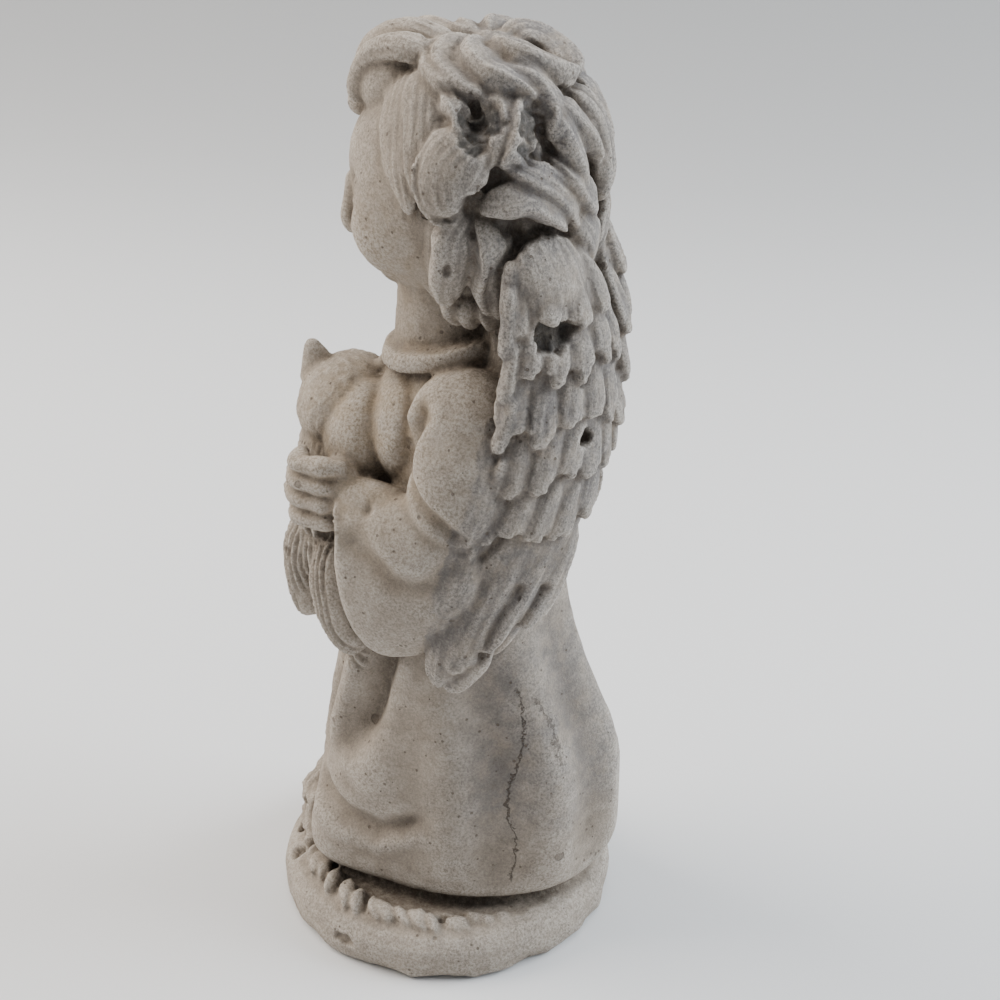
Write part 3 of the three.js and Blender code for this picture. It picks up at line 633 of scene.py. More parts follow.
def lock_of_hair(places, wide, high, crest):
    turns, rises = np.array(places, float).T
    t = np.linspace(0, 1, len(places))
    path = on_hair(turns, rises, -2.4 + 2.8 * smooth(0, 0.35, t))
    lean = 0.4 if crest > 0.2 else 0.0
    return strand(
        "lock", path, lambda t: wide * along([(0, 0.5), (0.35, 1), (0.75, 0.9), (1, 0.3)], t),
        lambda t: high * along([(0, 0.5), (0.4, 0.9), (1, 0.9)], t), HAIR_CENTRE,
        crest=crest, lean=lean, kind="hair", detail=(32, 48))


first_comb = len(combs)
near_locks = [lock_of_hair(*row) for row in LOCKS]
mirror_combs(first_comb)
for lock in near_locks:
    mirror_copy(lock)

INSIDE_FRINGE = (-3, 2, 222)
FRINGE = [
    ([(5, 8, 234), (1, -5, 236.6), (-4, -14, 233), (-7.5, -18.3, 226), (-7.5, -19, 219)], 4.6),
    ([(-3, 8, 234), (-10, -4, 234.8), (-14, -11.5, 229), (-16, -12.5, 220)], 4.6),
    ([(11, 6, 233), (8, -5, 235), (4, -13, 232), (1.5, -17, 225), (2, -16.4, 220)], 3.8),
]
lump("fringe_mass", (-4, -5.5, 224.5), (14, 13, 12.3), detail=48)
lump("fringe_curl", (-7, -18.4, 218), (4.4, 3.8, 3.4), detail=24)
for path, wide in FRINGE:
    strand("fringe", path, lambda t, w=wide: w * (1 - 0.35 * t), 2.6,
           INSIDE_FRINGE, crest=0.4, kind="hair", detail=(24, 32))
print("hair with", len(near_locks), "locks a side")

# %% [markdown]
# ## Wings
#
# Each wing is a curved blade lying against an upright drum round the back. On it go rows of
# feathers. A real carved feather ends in a ragged edge, so each one is a small fan of narrow
# strands of uneven length, which the pressing step melts into one blade with a torn end.

# %% Wings
WING_TOP, WING_TIP, WING_Y = 199, 83, 12
WING_EDGES = [  # height, turn of the front edge, turn of the back edge
    (83, 82, 94), (88, 79, 101), (96, 81, 112), (106, 86, 126), (116, 91.5, 141),
    (126, 98, 155), (140, 105, 168), (155, 111, 174), (170, 113, 174), (183, 114, 172),
    (193, 114, 166), (199, 119, 156),
]
WING_REACH = [(83, 1), (126, 0.94), (158, 0.98), (172, 0.97), (184, 0.9), (199, 0.78)]


def on_wing(across, height, lift):
    given = (np.asarray(v, float) for v in (across, height, lift))
    across, height, lift = np.broadcast_arrays(*given)
    front = along([(z, a) for z, a, b in WING_EDGES], height)
    back = along([(z, b) for z, a, b in WING_EDGES], height)
    turn = np.radians(mix(front, back, across))
    domed = -2.5 * np.abs(2 * across - 1) ** 4
    reach = along(WING_REACH, height)
    return points(np.sin(turn) * (34 + lift + domed),
                  WING_Y - np.cos(turn) * (33 * reach + lift + domed), height)


def wing_blade(around, share):
    a = around * 2 * math.pi
    closed = np.sqrt(np.clip(1 - np.abs(2 * share - 1) ** 12, 0, 1))
    s = np.sin(a)
    height, across = mix(WING_TIP, WING_TOP, share), 0.5 + 0.5 * np.cos(a) * closed
    shoulder = 2.6 * bump(height - 190, 9) * bump(across - 0.35, 0.35)
    lift = np.where(s > 0, (0.8 + shoulder) * s, 10 * s) * closed - 2 * (1 - closed)
    return on_wing(across, height, lift)


def feather(across0, across1, top, drop, half_wide, lift, barbs=4, kind="feather"):
    """A fan of narrow strands from one root; returns the pieces."""
    made = []
    for k in range(barbs):
        side = (k + 0.5) / barbs * 2 - 1
        spread = half_wide / 62
        length = drop * (1 - 0.16 * side * side) + dice.uniform(-1.4, 1.4)
        t = np.array([0, 0.35, 0.7, 1])
        fanned = mix(across0, across1, t) + spread * side * (0.25 + 0.75 * t)
        path = on_wing(fanned, top - length * t, lift + 3.0 * t - 1.4 - 0.5 * abs(side))
        middle = (0, WING_Y, top - drop / 2)
        made.append(strand(
            "feather", path,
            lambda t: half_wide / barbs * along([(0, 1.4), (0.6, 2.3), (1, 1.5)], t),
            1.7, middle, crest=0.4, lean=0.3 * side, kind=kind,
            detail=(10, 18)))
    return made


first_comb = len(combs)
wing = [ball("wing_blade", 120, 120, wing_blade)]
FEATHER_ROWS = [  # top, length, how many, half width
    (195, 17, 4, 4.2), (184, 18, 5, 4.2), (171, 18, 5, 4.6), (158, 18, 5, 4.8), (145, 18, 5, 4.8),
]
LONG_FEATHERS = 4
EDGE_FEATHERS = [(190, 17), (178, 16), (165, 15), (150, 38)]  # top, length
for row, (top, drop, count, half_wide) in enumerate(FEATHER_ROWS):
    for i in range(count):
        across = (i + 0.4 + (row % 2) * 0.4) / (count + 0.1)
        sag = 1.6 * math.sin(i * 2.1 + row * 1.3)
        wing += feather(across, across - 0.05, top + sag, drop, half_wide, 0.5)
for i in range(LONG_FEATHERS):
    across = 0.12 + i * 0.25
    wing += feather(across, across, 132 - i * 1.5, 48 - i * 7.5, 4.8 - i * 0.2, 0.2,
                    barbs=2, kind="quill")
for top, drop in EDGE_FEATHERS:
    t = np.array([0, 0.5, 1])
    wing.append(strand("edge_feather", on_wing(0.04 - 0.06 * t, top - drop * t, 1.6 + 0.6 * t),
                       2, 2.2, (0, WING_Y, top - drop / 2),
                       crest=0.4, kind="quill", detail=(14, 24)))
both_sides(wing)
mirror_combs(first_comb)
print("wing with", len(wing), "strands a side;", len(clay), "lumps of clay in all")

# %% [markdown]
# ## Press the clay together
#
# A voxel remesh melts every lump into one closed skin, as a casting is. Fine voxels keep the
# slits between locks open. A light smoothing takes off the voxel steps.

# %% One skin
deselect_all()
for obj in clay:
    obj.select_set(True)
bpy.context.view_layer.objects.active = clay[0]
bpy.ops.object.join()
statue = bpy.context.object
statue.name = "cast_cherub"
statue.data.name = "cast_cherub"
VOXEL = 0.7
press = statue.modifiers.new("press", "REMESH")
press.mode = "VOXEL"
press.voxel_size = VOXEL * MM
bpy.ops.object.modifier_apply(modifier=press.name)
soften = statue.modifiers.new("soften", "SMOOTH")
soften.factor = 0.5
soften.iterations = 2
bpy.ops.object.modifier_apply(modifier=soften.name)
print("skin", len(statue.data.vertices), "points")

# %% [markdown]
# ## Comb the locks, feathers and fur
#
# Fine tool lines run along each lock, each feather and each tuft of fur. We find, for every
# point of the skin, the nearest crest line, and how far across and along that strand it lies. The
# coarse lines are cut into the shape. The same two numbers are stored on the skin, so that the
# material can draw lines that are finer than the mesh.

# %% Neighbours, blur and noise


def neighbours(obj):
    ends = np.empty(len(obj.data.edges) * 2, np.int32)
    obj.data.edges.foreach_get("vertices", ends)
    return ends.reshape(-1, 2)


def blur(values, ends, rounds, share=0.5):
    """Values eased towards their neighbours' mean, over and over."""
    a, b = ends.T
    count = len(values)
    degree = np.maximum(np.bincount(a, minlength=count) + np.bincount(b, minlength=count), 1)
    columns = values.reshape(count, -1).T.copy()
    for _ in range(rounds):
        for column in columns:
            mean = np.bincount(a, column[b], count) + np.bincount(b, column[a], count)
            column += share * (mean / degree - column)
    return columns.T.reshape(values.shape)


def get_normals(obj):
    flat = np.empty(len(obj.data.vertices) * 3, np.float32)
    obj.data.vertex_normals.foreach_get("vector", flat)
    return flat.reshape(-1, 3).astype(float)


def noise(rows, size, seed=0):
    """Smooth noise from -1 to 1 with lumps about `size` mm wide."""
    place = rows / size + seed * 17.3
    cell = np.floor(place).astype(np.int64)
    f = place - cell
    f = f * f * (3 - 2 * f)
    total = 0
    for corner in np.ndindex(2, 2, 2):
        key = (cell + corner) @ np.array([73856093, 19349663, 83492791])
        value = ((key ^ (key >> 13)) * 1274126177 & 0xFFFFFF) / 0x7FFFFF - 1
        weight = np.prod(np.where(corner, f, 1 - f), axis=1)
        total = total + value * weight
    return total


# %% Nearest crest
KINDS = ["hair", "feather", "fur", "quill"]
COMB_DEPTHS = [0.22, 0.2, 0.45, 0.08]  # mm, for each kind
HAIR_LINES, FUR_LINES = 2.9, 3.4  # radians of the line pattern a mm across the strand
COMB_FULL, COMB_GONE = 3.5, 6  # mm from a crest
STROKE_DEPTH = 0.4
SHARPEN_ALL, SHARPEN_COMBED = 0.35, 0.8
crest_points = np.concatenate([line for _, line, *_ in combs])
tree = KDTree(len(crest_points))
for i, spot in enumerate(crest_points):
    tree.insert(spot, i)
tree.balance()
crest_across = np.concatenate([across for _, _, across, _ in combs])
crest_along = np.concatenate([t for *_, t in combs])
crest_kind = np.concatenate([np.full(len(row[1]), KINDS.index(row[0])) for row in combs])
crest_name = np.concatenate([np.full(len(row[1]), i) for i, row in enumerate(combs)])


def comb_places(rows):
    found = [tree.find(spot)[1:] for spot in rows]
    nearest = np.array([i for i, _ in found])
    away = np.array([d for _, d in found])
    side = np.sum((rows - crest_points[nearest]) * crest_across[nearest], axis=1)
    return nearest, away, side


rows, normals, ends = get_points(statue), get_normals(statue), neighbours(statue)
nearest, away, side = comb_places(rows)
along_mm, kind = crest_along[nearest], crest_kind[nearest]
phase = crest_name[nearest] * 2.4
reach = 1 - smooth(COMB_FULL, COMB_GONE, away)
hair_line = 0.5 + 0.5 * np.cos(side * HAIR_LINES + 0.9 * np.sin(along_mm / 5 + phase))
fur_line = 0.5 + 0.5 * np.cos(side * FUR_LINES + 1.2 * np.sin(along_mm / 2.5 + phase))
faint = 0.45 + 0.55 * noise(rows, 5, 21)
hair_depth, feather_depth, fur_depth, quill_depth = COMB_DEPTHS
depths = [hair_depth * hair_line * faint, feather_depth * hair_line * faint,
          fur_depth * fur_line, quill_depth * hair_line]
cut = np.choose(kind, depths) * reach

# the kitten's head and shoulders have fur strokes of their own, running down
kitten_spot = np.array([0, -23, 138])
on_kitten = 1 - smooth(0.9, 1.15, np.linalg.norm((rows - kitten_spot) / (19, 17.5, 20), axis=1))
on_kitten *= smooth(-40, -16, -np.abs(rows[:, 1] + 28)) * (rows[:, 1] < -9)
stroke = 0.5 + 0.5 * noise(rows * (1, 1, 0.22) + noise(rows, 7, 12)[:, None] * 1.2, 1.1, 3)
cut = np.maximum(cut, STROKE_DEPTH * on_kitten * stroke)
rows -= normals * cut[:, None]

# sharpen: what stands out from its blurred surroundings stands out more, mostly where combed
detail = np.sum((rows - blur(rows, ends, 14)) * normals, axis=1)
sharpness = SHARPEN_ALL + SHARPEN_COMBED * reach * (1 - on_kitten)
rows += normals * np.clip(detail * sharpness, -1.3, 1.0)[:, None]
print("combed", int((cut > 0.05).sum()), "points along", len(combs), "strands")

# %% [markdown]
# ## Chips, holes and a weathered skin
#
# Some lock ends and feathers have broken away and left rough grey sockets. Each is a shallow
# scoop with a ragged rim. The whole skin also gets a faint unevenness, as a worn casting has.

# %% Folds and grooves drawn with a tool
GROOVES = [  # path, half width, depth
    ([(29.5, 3, 156), (29.5, 0, 149), (31, -0.5, 142), (34.8, 2.6, 137.4), (37.7, 8.8, 133),
      (37.6, 13, 129)], 2.2, 2.6),
    ([(27, 1.5, 157), (27, 0, 151), (27.5, -1.5, 144)], 2.6, 3.2),
    ([(34.9, -12.6, 123.6), (37.1, -7.7, 119.9), (38.7, -1.1, 116.2), (38.9, 5.7, 115.8),
      (37.1, 11.5, 121)], 3.6, 2.3),
    ([(31, -9, 137), (32, -9.5, 131)], 1.0, 1.1),
    ([(31.4, 27.3, 114.4), (34, 23, 107.1), (35.3, 20.1, 100.4), (31, 16.5, 91)], 1.3, 1.9),
    ([(27.6, 32.5, 112.9), (31.1, 28.5, 106.1), (31.9, 23, 98), (29, 18.5, 90)], 1.3, 1.9),
    ([(32.4, 23, 128), (33.5, 18.6, 122.7)], 0.9, 1.6),
]


def near_path(rows, path):
    """Each point's distance from a smooth path."""
    line = curve(path, np.linspace(0, 1, 40))
    away = np.full(len(rows), 99.0)
    margin = 12
    close = np.all((rows > line.min(0) - margin) & (rows < line.max(0) + margin), axis=1)
    gaps = np.linalg.norm(rows[close][:, None] - line[None], axis=2)
    away[close] = gaps.min(1)
    return away


soft_normals = unit(blur(normals, ends, 8))
for path, half_wide, depth in GROOVES:
    for flip in (1, -1):
        away_now = near_path(rows * (flip, 1, 1), path)
        rows -= soft_normals * (depth * bump(away_now, half_wide))[:, None]
print("drew", len(GROOVES), "folds and grooves a side")

# %% Chips and wear
CHIPS = [  # place, how wide it is each way, depth
    ((24.6, 16.6, 225.5), (4.5, 5, 6), 1.5), ((26.5, 15.4, 220.5), (3, 4, 4), 1.1),
    ((20.5, 27.5, 223.5), (4.5, 4, 5.5), 1.5), ((23.5, 27.5, 218.5), (3, 3.5, 4), 1.1),
    ((25.5, 33, 177), (6.5, 5.5, 4), 2.6), ((19.3, 39.8, 150.2), (2.4, 3, 2.2), 3.2),
    ((20, 37, 165), (3.5, 3.5, 2.4), 1.2), ((27.4, 23, 215), (1.3, 1.3, 1.3), 1.6),
    ((30.3, 10.2, 191), (1.6, 1.5, 3.4), 1.2),
    ((16, -38.8, 11.5), (2.2, 2.6, 2), 2.2), ((6, -40.4, 12), (2, 2, 2), 1.8),
    ((3, -40, 18), (2, 2, 2), 1.6), ((37.3, 0, 13), (1.8, 2.4, 2), 2.2),
    ((34.8, 8.8, 12.5), (1.8, 2.2, 2), 2.2), ((41.5, -18, 6.5), (3.5, 3.5, 1.6), 1.0),
]
ROUGH_BREAKS = 7  # the first of them show a grey crust


def ragged_edge(rows):
    return noise(rows, 1.7, 1) * 0.22 + noise(rows, 4.1, 2) * 0.2


ragged = ragged_edge(rows)
for centre, wide, depth in CHIPS:
    inside = 1 - smooth(0.78, 1.0, np.linalg.norm((rows - centre) / wide, axis=1) + ragged)
    rows -= normals * (depth * inside * (1 + 0.25 * noise(rows, 1.2, 4)))[:, None]
rows += normals * (0.16 * noise(rows, 6, 5) + 0.10 * noise(rows, 2.4, 6))[:, None]
rim = smooth(4, 1, rows[:, 2]) * smooth(41, 45, np.hypot(rows[:, 0], rows[:, 1]))
rows += normals * (rim * 0.45 * noise(rows, 3.2, 8))[:, None]
rows = np.clip(rows, np.array(cad_low) / MM, np.array(cad_high) / MM)
set_points(statue, rows)

# %% [markdown]
# ## Thin the mesh
#
# Decimate spends its triangles where the surface bends, so flat cloth gets few and locks many.

# %% Thin
MOST_TRIANGLES = 192000
thin = statue.modifiers.new("thin", "DECIMATE")
triangles = sum(len(p.vertices) - 2 for p in statue.data.polygons)
thin.ratio = min(1.0, MOST_TRIANGLES / triangles)
pick(statue)
bpy.ops.object.modifier_apply(modifier=thin.name)
bpy.ops.object.mode_set(mode="EDIT")
bpy.ops.mesh.select_all(action="SELECT")
bpy.ops.mesh.quads_convert_to_tris()
bpy.ops.object.mode_set(mode="OBJECT")
bpy.ops.object.shade_smooth()
print("statue", len(statue.data.polygons), "triangles, from", triangles)

# %% [markdown]
# ## Read the shape for the finish
#
# The material darkens shut-in hollows with grime and painted shade together. For every point we
# count how many of a fan of rays are blocked nearby, and compare the point with its blurred
# neighbours to find sharp hollows and worn edges. These go on the mesh as attributes that the
# material reads.

# %% Attributes


def store(name, values):
    kind_of = "FLOAT" if values.ndim == 1 else "FLOAT_VECTOR"
    layer = statue.data.attributes.new(name, kind_of, "POINT")
    slot_name = "value" if values.ndim == 1 else "vector"
    layer.data.foreach_set(slot_name, values.astype(np.float32).ravel())


rows, normals, ends = get_points(statue), get_normals(statue), neighbours(statue)
relief = np.sum((blur(rows, ends, 6) - rows) * normals, axis=1)
broad = np.sum((blur(rows, ends, 60) - rows) * normals, axis=1)

skin = BVHTree.FromObject(statue, bpy.context.evaluated_depsgraph_get())
RAYS, RAY_REACH = 18, 16 * MM
golden = math.pi * (3 - math.sqrt(5))
dome = []
for i in range(RAYS):
    h = 1 - (i + 0.5) / RAYS * 0.9
    flat = math.sqrt(1 - h * h)
    dome.append(Vector((math.cos(i * golden) * flat, math.sin(i * golden) * flat, h)))
shut = np.zeros(len(rows))
starts = (rows + normals * 0.25) * MM
for i, (start, normal) in enumerate(zip(starts, normals)):
    turn = Vector(normal).to_track_quat("Z", "Y")
    start = Vector(start)
    hits = 0
    for ray in dome:
        if skin.ray_cast(start, turn @ ray, RAY_REACH)[0] is not None:
            hits += 1
    shut[i] = hits / RAYS
# how shut in each point is; the material paints this as shade and grime together
hollow = np.clip(blur(shut, ends, 2) * 1.25, 0, 1)
nearest, away, side = comb_places(rows)
kind = crest_kind[nearest]
reach = 1 - smooth(COMB_FULL, COMB_GONE, away)
lines = np.stack([side, crest_along[nearest], crest_name[nearest] * 3.7], axis=1)
ragged = ragged_edge(rows)
broken = np.zeros(len(rows))
for centre, wide, _ in CHIPS[:ROUGH_BREAKS]:
    inside = 1 - smooth(0.8, 0.95, np.linalg.norm((rows - centre) / wide, axis=1) + ragged)
    broken = np.maximum(broken, inside)
x, y, z = rows.T
on_wings = np.isin(kind, (KINDS.index("feather"), KINDS.index("quill"))) & (away < 5)
greyed = smooth(-10, 25, y) * smooth(165, 195, z) * 0.8
greyed = np.maximum(greyed, np.where(on_wings, 0.75, 0))
greyed = np.maximum(greyed, 0.55 * smooth(5, 22, y) * smooth(110, 80, z) * smooth(30, 45, z))
# painted light: a warm tint on the chest and cheek stands in for the warm window light there
CHEST_WARMTH, CHEEK_WARMTH = (22, -12, 148), (18, -12, 188)
painted_warmth = bump(np.linalg.norm((rows - CHEST_WARMTH) / (1.2, 1.2, 1.3), axis=1), 20)
cheek = bump(np.linalg.norm((rows - CHEEK_WARMTH) / (1.2, 1.2, 1.2), axis=1), 16)
painted_warmth = np.maximum(painted_warmth, 0.7 * cheek)
store("hollow", hollow)
store("edge", np.clip(-relief * 2.2 - broad * 0.25, 0, 1))
store("crease", np.clip(relief * 3.0, 0, 1))
store("broken", broken)
store("greyed", np.clip(greyed * (1 + 0.35 * noise(rows, 14, 9)), 0, 1))
store("painted_warmth", painted_warmth)
store("combed", reach)
store("lines", lines)
print("mean hollow", round(float(hollow.mean()), 3))

# %% [markdown]
# ## The stone
#
# Cast stone is sand held by cement: a warm pale grey with darker and lighter grains, pinholes
# and hairline cracks darkened with painted shade, brown grime and painted shade in its hollows, a
# cool grey bloom where rain has fallen, and edges rubbed pale.
# Everything is driven by Object coordinates in millimetres or by the attributes stored above.

# %% Node helpers


def give(tree, socket, value):
    """Link a socket to another, or set it to a plain value."""
    if isinstance(value, bpy.types.NodeSocket):
        tree.links.new(value, socket)
    else:
        socket.default_value = value


def put(tree, kind, **inputs):
    """A new node with its inputs given by name, or by number as i0, i1."""
    made = tree.nodes.new(kind)
    for name, value in inputs.items():
        numbered = name[0] == "i" and name[1:].isdigit()
        give(tree, made.inputs[int(name[1:]) if numbered else name], value)
    return made


def maths(tree, operation, a, b=0.0, clamp=False):
    made = put(tree, "ShaderNodeMath", i0=a, i1=b)
    made.operation = operation
    made.use_clamp = clamp
    return made.outputs[0]


def times(tree, a, b):
    return maths(tree, "MULTIPLY", a, b)


def plus(tree, a, b):
    return maths(tree, "ADD", a, b)


def step(tree, value, low, high):
    """0 below low, 1 above high, eased between; low may be above high."""
    made = tree.nodes.new("ShaderNodeMapRange")
    made.interpolation_type = "SMOOTHSTEP"
    tree.links.new(value, made.inputs["Value"])
    made.inputs["From Min"].default_value = low
    made.inputs["From Max"].default_value = high
    return made.outputs["Result"]


def blend(tree, share, a, b, mode="MIX"):
    made = tree.nodes.new("ShaderNodeMix")
    made.data_type = "RGBA"
    made.blend_type = mode
    for socket, value in ((0, share), (6, a), (7, b)):  # the colour sockets of a Mix node
        give(tree, made.inputs[socket], value)
    return made.outputs[2]


def coat(tree, under, share, most, paint):
    """Paint laid over a colour where share is high, at most by `most`."""
    return blend(tree, times(tree, share, most), under, paint)


def attribute(tree, name, vector=False):
    made = tree.nodes.new("ShaderNodeAttribute")
    made.attribute_name = name
    return made.outputs["Vector" if vector else "Fac"]


def cloud(tree, where, scale, detail=4.0, rough=0.6):
    made = put(tree, "ShaderNodeTexNoise",
               Vector=where, Scale=scale, Detail=detail, Roughness=rough)
    return made.outputs["Fac"]


def group(name, **inputs):
    """A node group with these inputs and one output, a mask."""
    made = bpy.data.node_groups.new(name, "ShaderNodeTree")
    for label, kind in inputs.items():
        made.interface.new_socket(label, in_out="INPUT", socket_type="NodeSocket" + kind)
    made.interface.new_socket("Mask", in_out="OUTPUT", socket_type="NodeSocketFloat")
    return made, made.nodes.new("NodeGroupInput"), made.nodes.new("NodeGroupOutput")


def place_group(tree, made, **inputs):
    placed = tree.nodes.new("ShaderNodeGroup")
    placed.node_tree = made
    for name, value in inputs.items():
        give(tree, placed.inputs[name], value)
    return placed.outputs["Mask"]


# %% Pinholes and hairline cracks


def pinhole_group():
    tree, given, out = group("pinholes", Place="Vector", Size="Float", Share="Float")
    place, size = given.outputs["Place"], given.outputs["Size"]
    cells = put(tree, "ShaderNodeTexVoronoi", Vector=place, Scale=size)
    chosen = put(tree, "ShaderNodeSeparateColor", Color=cells.outputs["Color"])
    some = maths(tree, "LESS_THAN", chosen.outputs[0], given.outputs["Share"])
    radius = plus(tree, times(tree, chosen.outputs[1], 0.28), 0.06)
    near = maths(tree, "SUBTRACT", radius, cells.outputs["Distance"])
    tree.links.new(times(tree, step(tree, near, 0.0, 0.06), some), out.inputs["Mask"])
    return tree


CRACK_SPAN = 50.0  # mm of depth that the crack's curve covers
CRACK_WANDER = 5.0
CRACK_EDGE, CRACK_CORE = 0.34, 0.08  # mm either side of its middle
LEFT_SIDE = 5  # mm; the cracks are on the side beyond this


def crack_group(name, path):
    """A thin wandering line down the robe's left side: depth (Y) as a curve of height (Z)."""
    tree, given, out = group(name, Place="Vector")
    shaken = cloud(tree, given.outputs["Place"], 0.55, 5.0, 0.7)
    spot = put(tree, "ShaderNodeSeparateXYZ", Vector=given.outputs["Place"]).outputs
    top, low = path[0][0], path[-1][0]
    height = put(tree, "ShaderNodeMapRange", Value=spot["Z"])
    height.inputs["From Min"].default_value = low
    height.inputs["From Max"].default_value = top
    line = tree.nodes.new("ShaderNodeFloatCurve")
    tree.links.new(height.outputs["Result"], line.inputs["Value"])
    points_on = line.mapping.curves[0].points
    ordered = [((z - low) / (top - low), y / CRACK_SPAN) for z, y in reversed(path)]
    while len(points_on) < len(ordered):
        points_on.new(0.5, 0.5)
    for point, spot_on in zip(points_on, ordered):
        point.location = spot_on
    line.mapping.update()
    wander = times(tree, maths(tree, "SUBTRACT", shaken, 0.5), CRACK_WANDER)
    middle = plus(tree, times(tree, line.outputs["Value"], CRACK_SPAN), wander)
    off = maths(tree, "ABSOLUTE", maths(tree, "SUBTRACT", spot["Y"], middle))
    mask = step(tree, off, CRACK_EDGE, CRACK_CORE)
    mask = times(tree, mask, step(tree, spot["Z"], low, low + 2))
    mask = times(tree, mask, step(tree, spot["Z"], top, top - 2))
    mask = times(tree, mask, step(tree, spot["X"], LEFT_SIDE, LEFT_SIDE + 1))
    tree.links.new(mask, out.inputs["Mask"])
    return tree


pinholes = pinhole_group()
LONG_CRACK = [  # height, depth
    (80, 23.9), (75, 25.7), (64, 26.4), (57.5, 25.3), (49.5, 23), (41, 23.2), (34, 25.1),
    (21, 23.6),
]
SHORT_CRACK = [(77, 27.6), (68, 32.3), (61, 34.6), (55, 36.4)]

# %% Stone material
STONE_DARK, STONE_PALE = (0.262, 0.222, 0.180, 1), (0.345, 0.296, 0.243, 1)
# the darkest colour here is painted shade in the hollows, together with grime
DIRT, GRIME_AND_PAINTED_SHADE = (0.195, 0.163, 0.131, 1), (0.085, 0.066, 0.048, 1)
GREY_BLOOM, WARM_LIGHT_TINT = (0.150, 0.146, 0.149, 1), (0.31, 0.225, 0.13, 1)
RUBBED_EDGE, BROKEN_CRUST = (0.50, 0.455, 0.40, 1), (0.09, 0.086, 0.078, 1)
TOOL_LINE, PINHOLE_SHADE, CRACK_SHADE = (0.22, 0.19, 0.16, 1), (0.11, 0.085, 0.065, 1), (0.1, 0.078, 0.06, 1)
BUMP_DEPTH = 0.45  # mm
stone = bpy.data.materials.new("cast_stone")
stone.use_nodes = True
tree = stone.node_tree
surface = tree.nodes["Principled BSDF"]
coordinates = tree.nodes.new("ShaderNodeTexCoord")
scaled = put(tree, "ShaderNodeVectorMath", i0=coordinates.outputs["Object"])
scaled.operation = "SCALE"
scaled.inputs["Scale"].default_value = 1 / MM
place_mm = scaled.outputs[0]

hollow, edge, crease = (attribute(tree, n) for n in ("hollow", "edge", "crease"))
broken, greyed = attribute(tree, "broken"), attribute(tree, "greyed")
painted_warmth, combed = attribute(tree, "painted_warmth"), attribute(tree, "combed")
lines = attribute(tree, "lines", vector=True)

blotches = cloud(tree, place_mm, 0.045, 5.0, 0.62)
patches = cloud(tree, place_mm, 0.16, 6.0, 0.68)
sand = cloud(tree, place_mm, 1.5, 3.0, 0.7)
fine_sand = cloud(tree, place_mm, 3.6, 2.0, 0.6)
strands = put(tree, "ShaderNodeVectorMath", i0=lines, i1=(2.1, 0.16, 1.0))
strands.operation = "MULTIPLY"
tool_lines = times(tree, cloud(tree, strands.outputs[0], 1.0, 3.0, 0.6), combed)

colour = blend(tree, step(tree, blotches, 0.35, 0.65), STONE_DARK, STONE_PALE)
colour = coat(tree, colour, step(tree, patches, 0.44, 0.66), 0.5, DIRT)
colour = coat(tree, colour, times(tree, greyed, step(tree, patches, 0.25, 0.6)), 0.9, GREY_BLOOM)
# painted light: the warm tint on the chest and cheek, patchy
colour = coat(tree, colour, times(tree, painted_warmth, step(tree, patches, 0.3, 0.6)), 0.5, WARM_LIGHT_TINT)
colour = coat(tree, colour, times(tree, edge, step(tree, sand, 0.3, 0.6)), 0.7, RUBBED_EDGE)
# painted shade and grime: shut-in hollows and creases are coloured almost black, in patches
deep = maths(tree, "ADD", times(tree, step(tree, hollow, 0.28, 0.95), 0.85),
             times(tree, crease, 0.5), clamp=True)
dark_patchiness = step(tree, cloud(tree, place_mm, 0.5, 6.0, 0.75), 0.22, 0.62)
colour = coat(tree, colour, times(tree, deep, dark_patchiness), 0.85, GRIME_AND_PAINTED_SHADE)
crust = times(tree, broken, step(tree, cloud(tree, place_mm, 0.9, 5.0, 0.8), 0.3, 0.52))
colour = coat(tree, colour, crust, 0.7, BROKEN_CRUST)
speckle = maths(tree, "SUBTRACT", plus(tree, sand, times(tree, fine_sand, 0.6)), 0.8)
grain = plus(tree, times(tree, speckle, 0.9), 0.5)
grainy = put(tree, "ShaderNodeCombineColor", i0=grain, i1=grain, i2=grain)
colour = blend(tree, 0.55, colour, grainy.outputs[0], "OVERLAY")
colour = coat(tree, colour, step(tree, tool_lines, 0.52, 0.7), 0.3, TOOL_LINE)
small_holes = place_group(tree, pinholes, Place=place_mm, Size=0.7, Share=0.10)
large_holes = place_group(tree, pinholes, Place=place_mm, Size=0.22, Share=0.035)
holes = maths(tree, "MAXIMUM", small_holes, times(tree, large_holes, 0.8))
# painted shade: the pinholes are coloured dark as the shade inside them
colour = coat(tree, colour, holes, 0.7, PINHOLE_SHADE)
long_crack = place_group(tree, crack_group("long_crack", LONG_CRACK), Place=place_mm)
short_crack = place_group(tree, crack_group("short_crack", SHORT_CRACK), Place=place_mm)
cracks = maths(tree, "MAXIMUM", long_crack, times(tree, short_crack, 0.55))
# painted shade: the hairline cracks are coloured dark as the shade in them
colour = coat(tree, colour, cracks, 0.75, CRACK_SHADE)
tree.links.new(colour, surface.inputs["Base Color"])
surface.inputs["Specular IOR Level"].default_value = 0.25
tree.links.new(plus(tree, times(tree, sand, 0.12), 0.85), surface.inputs["Roughness"])

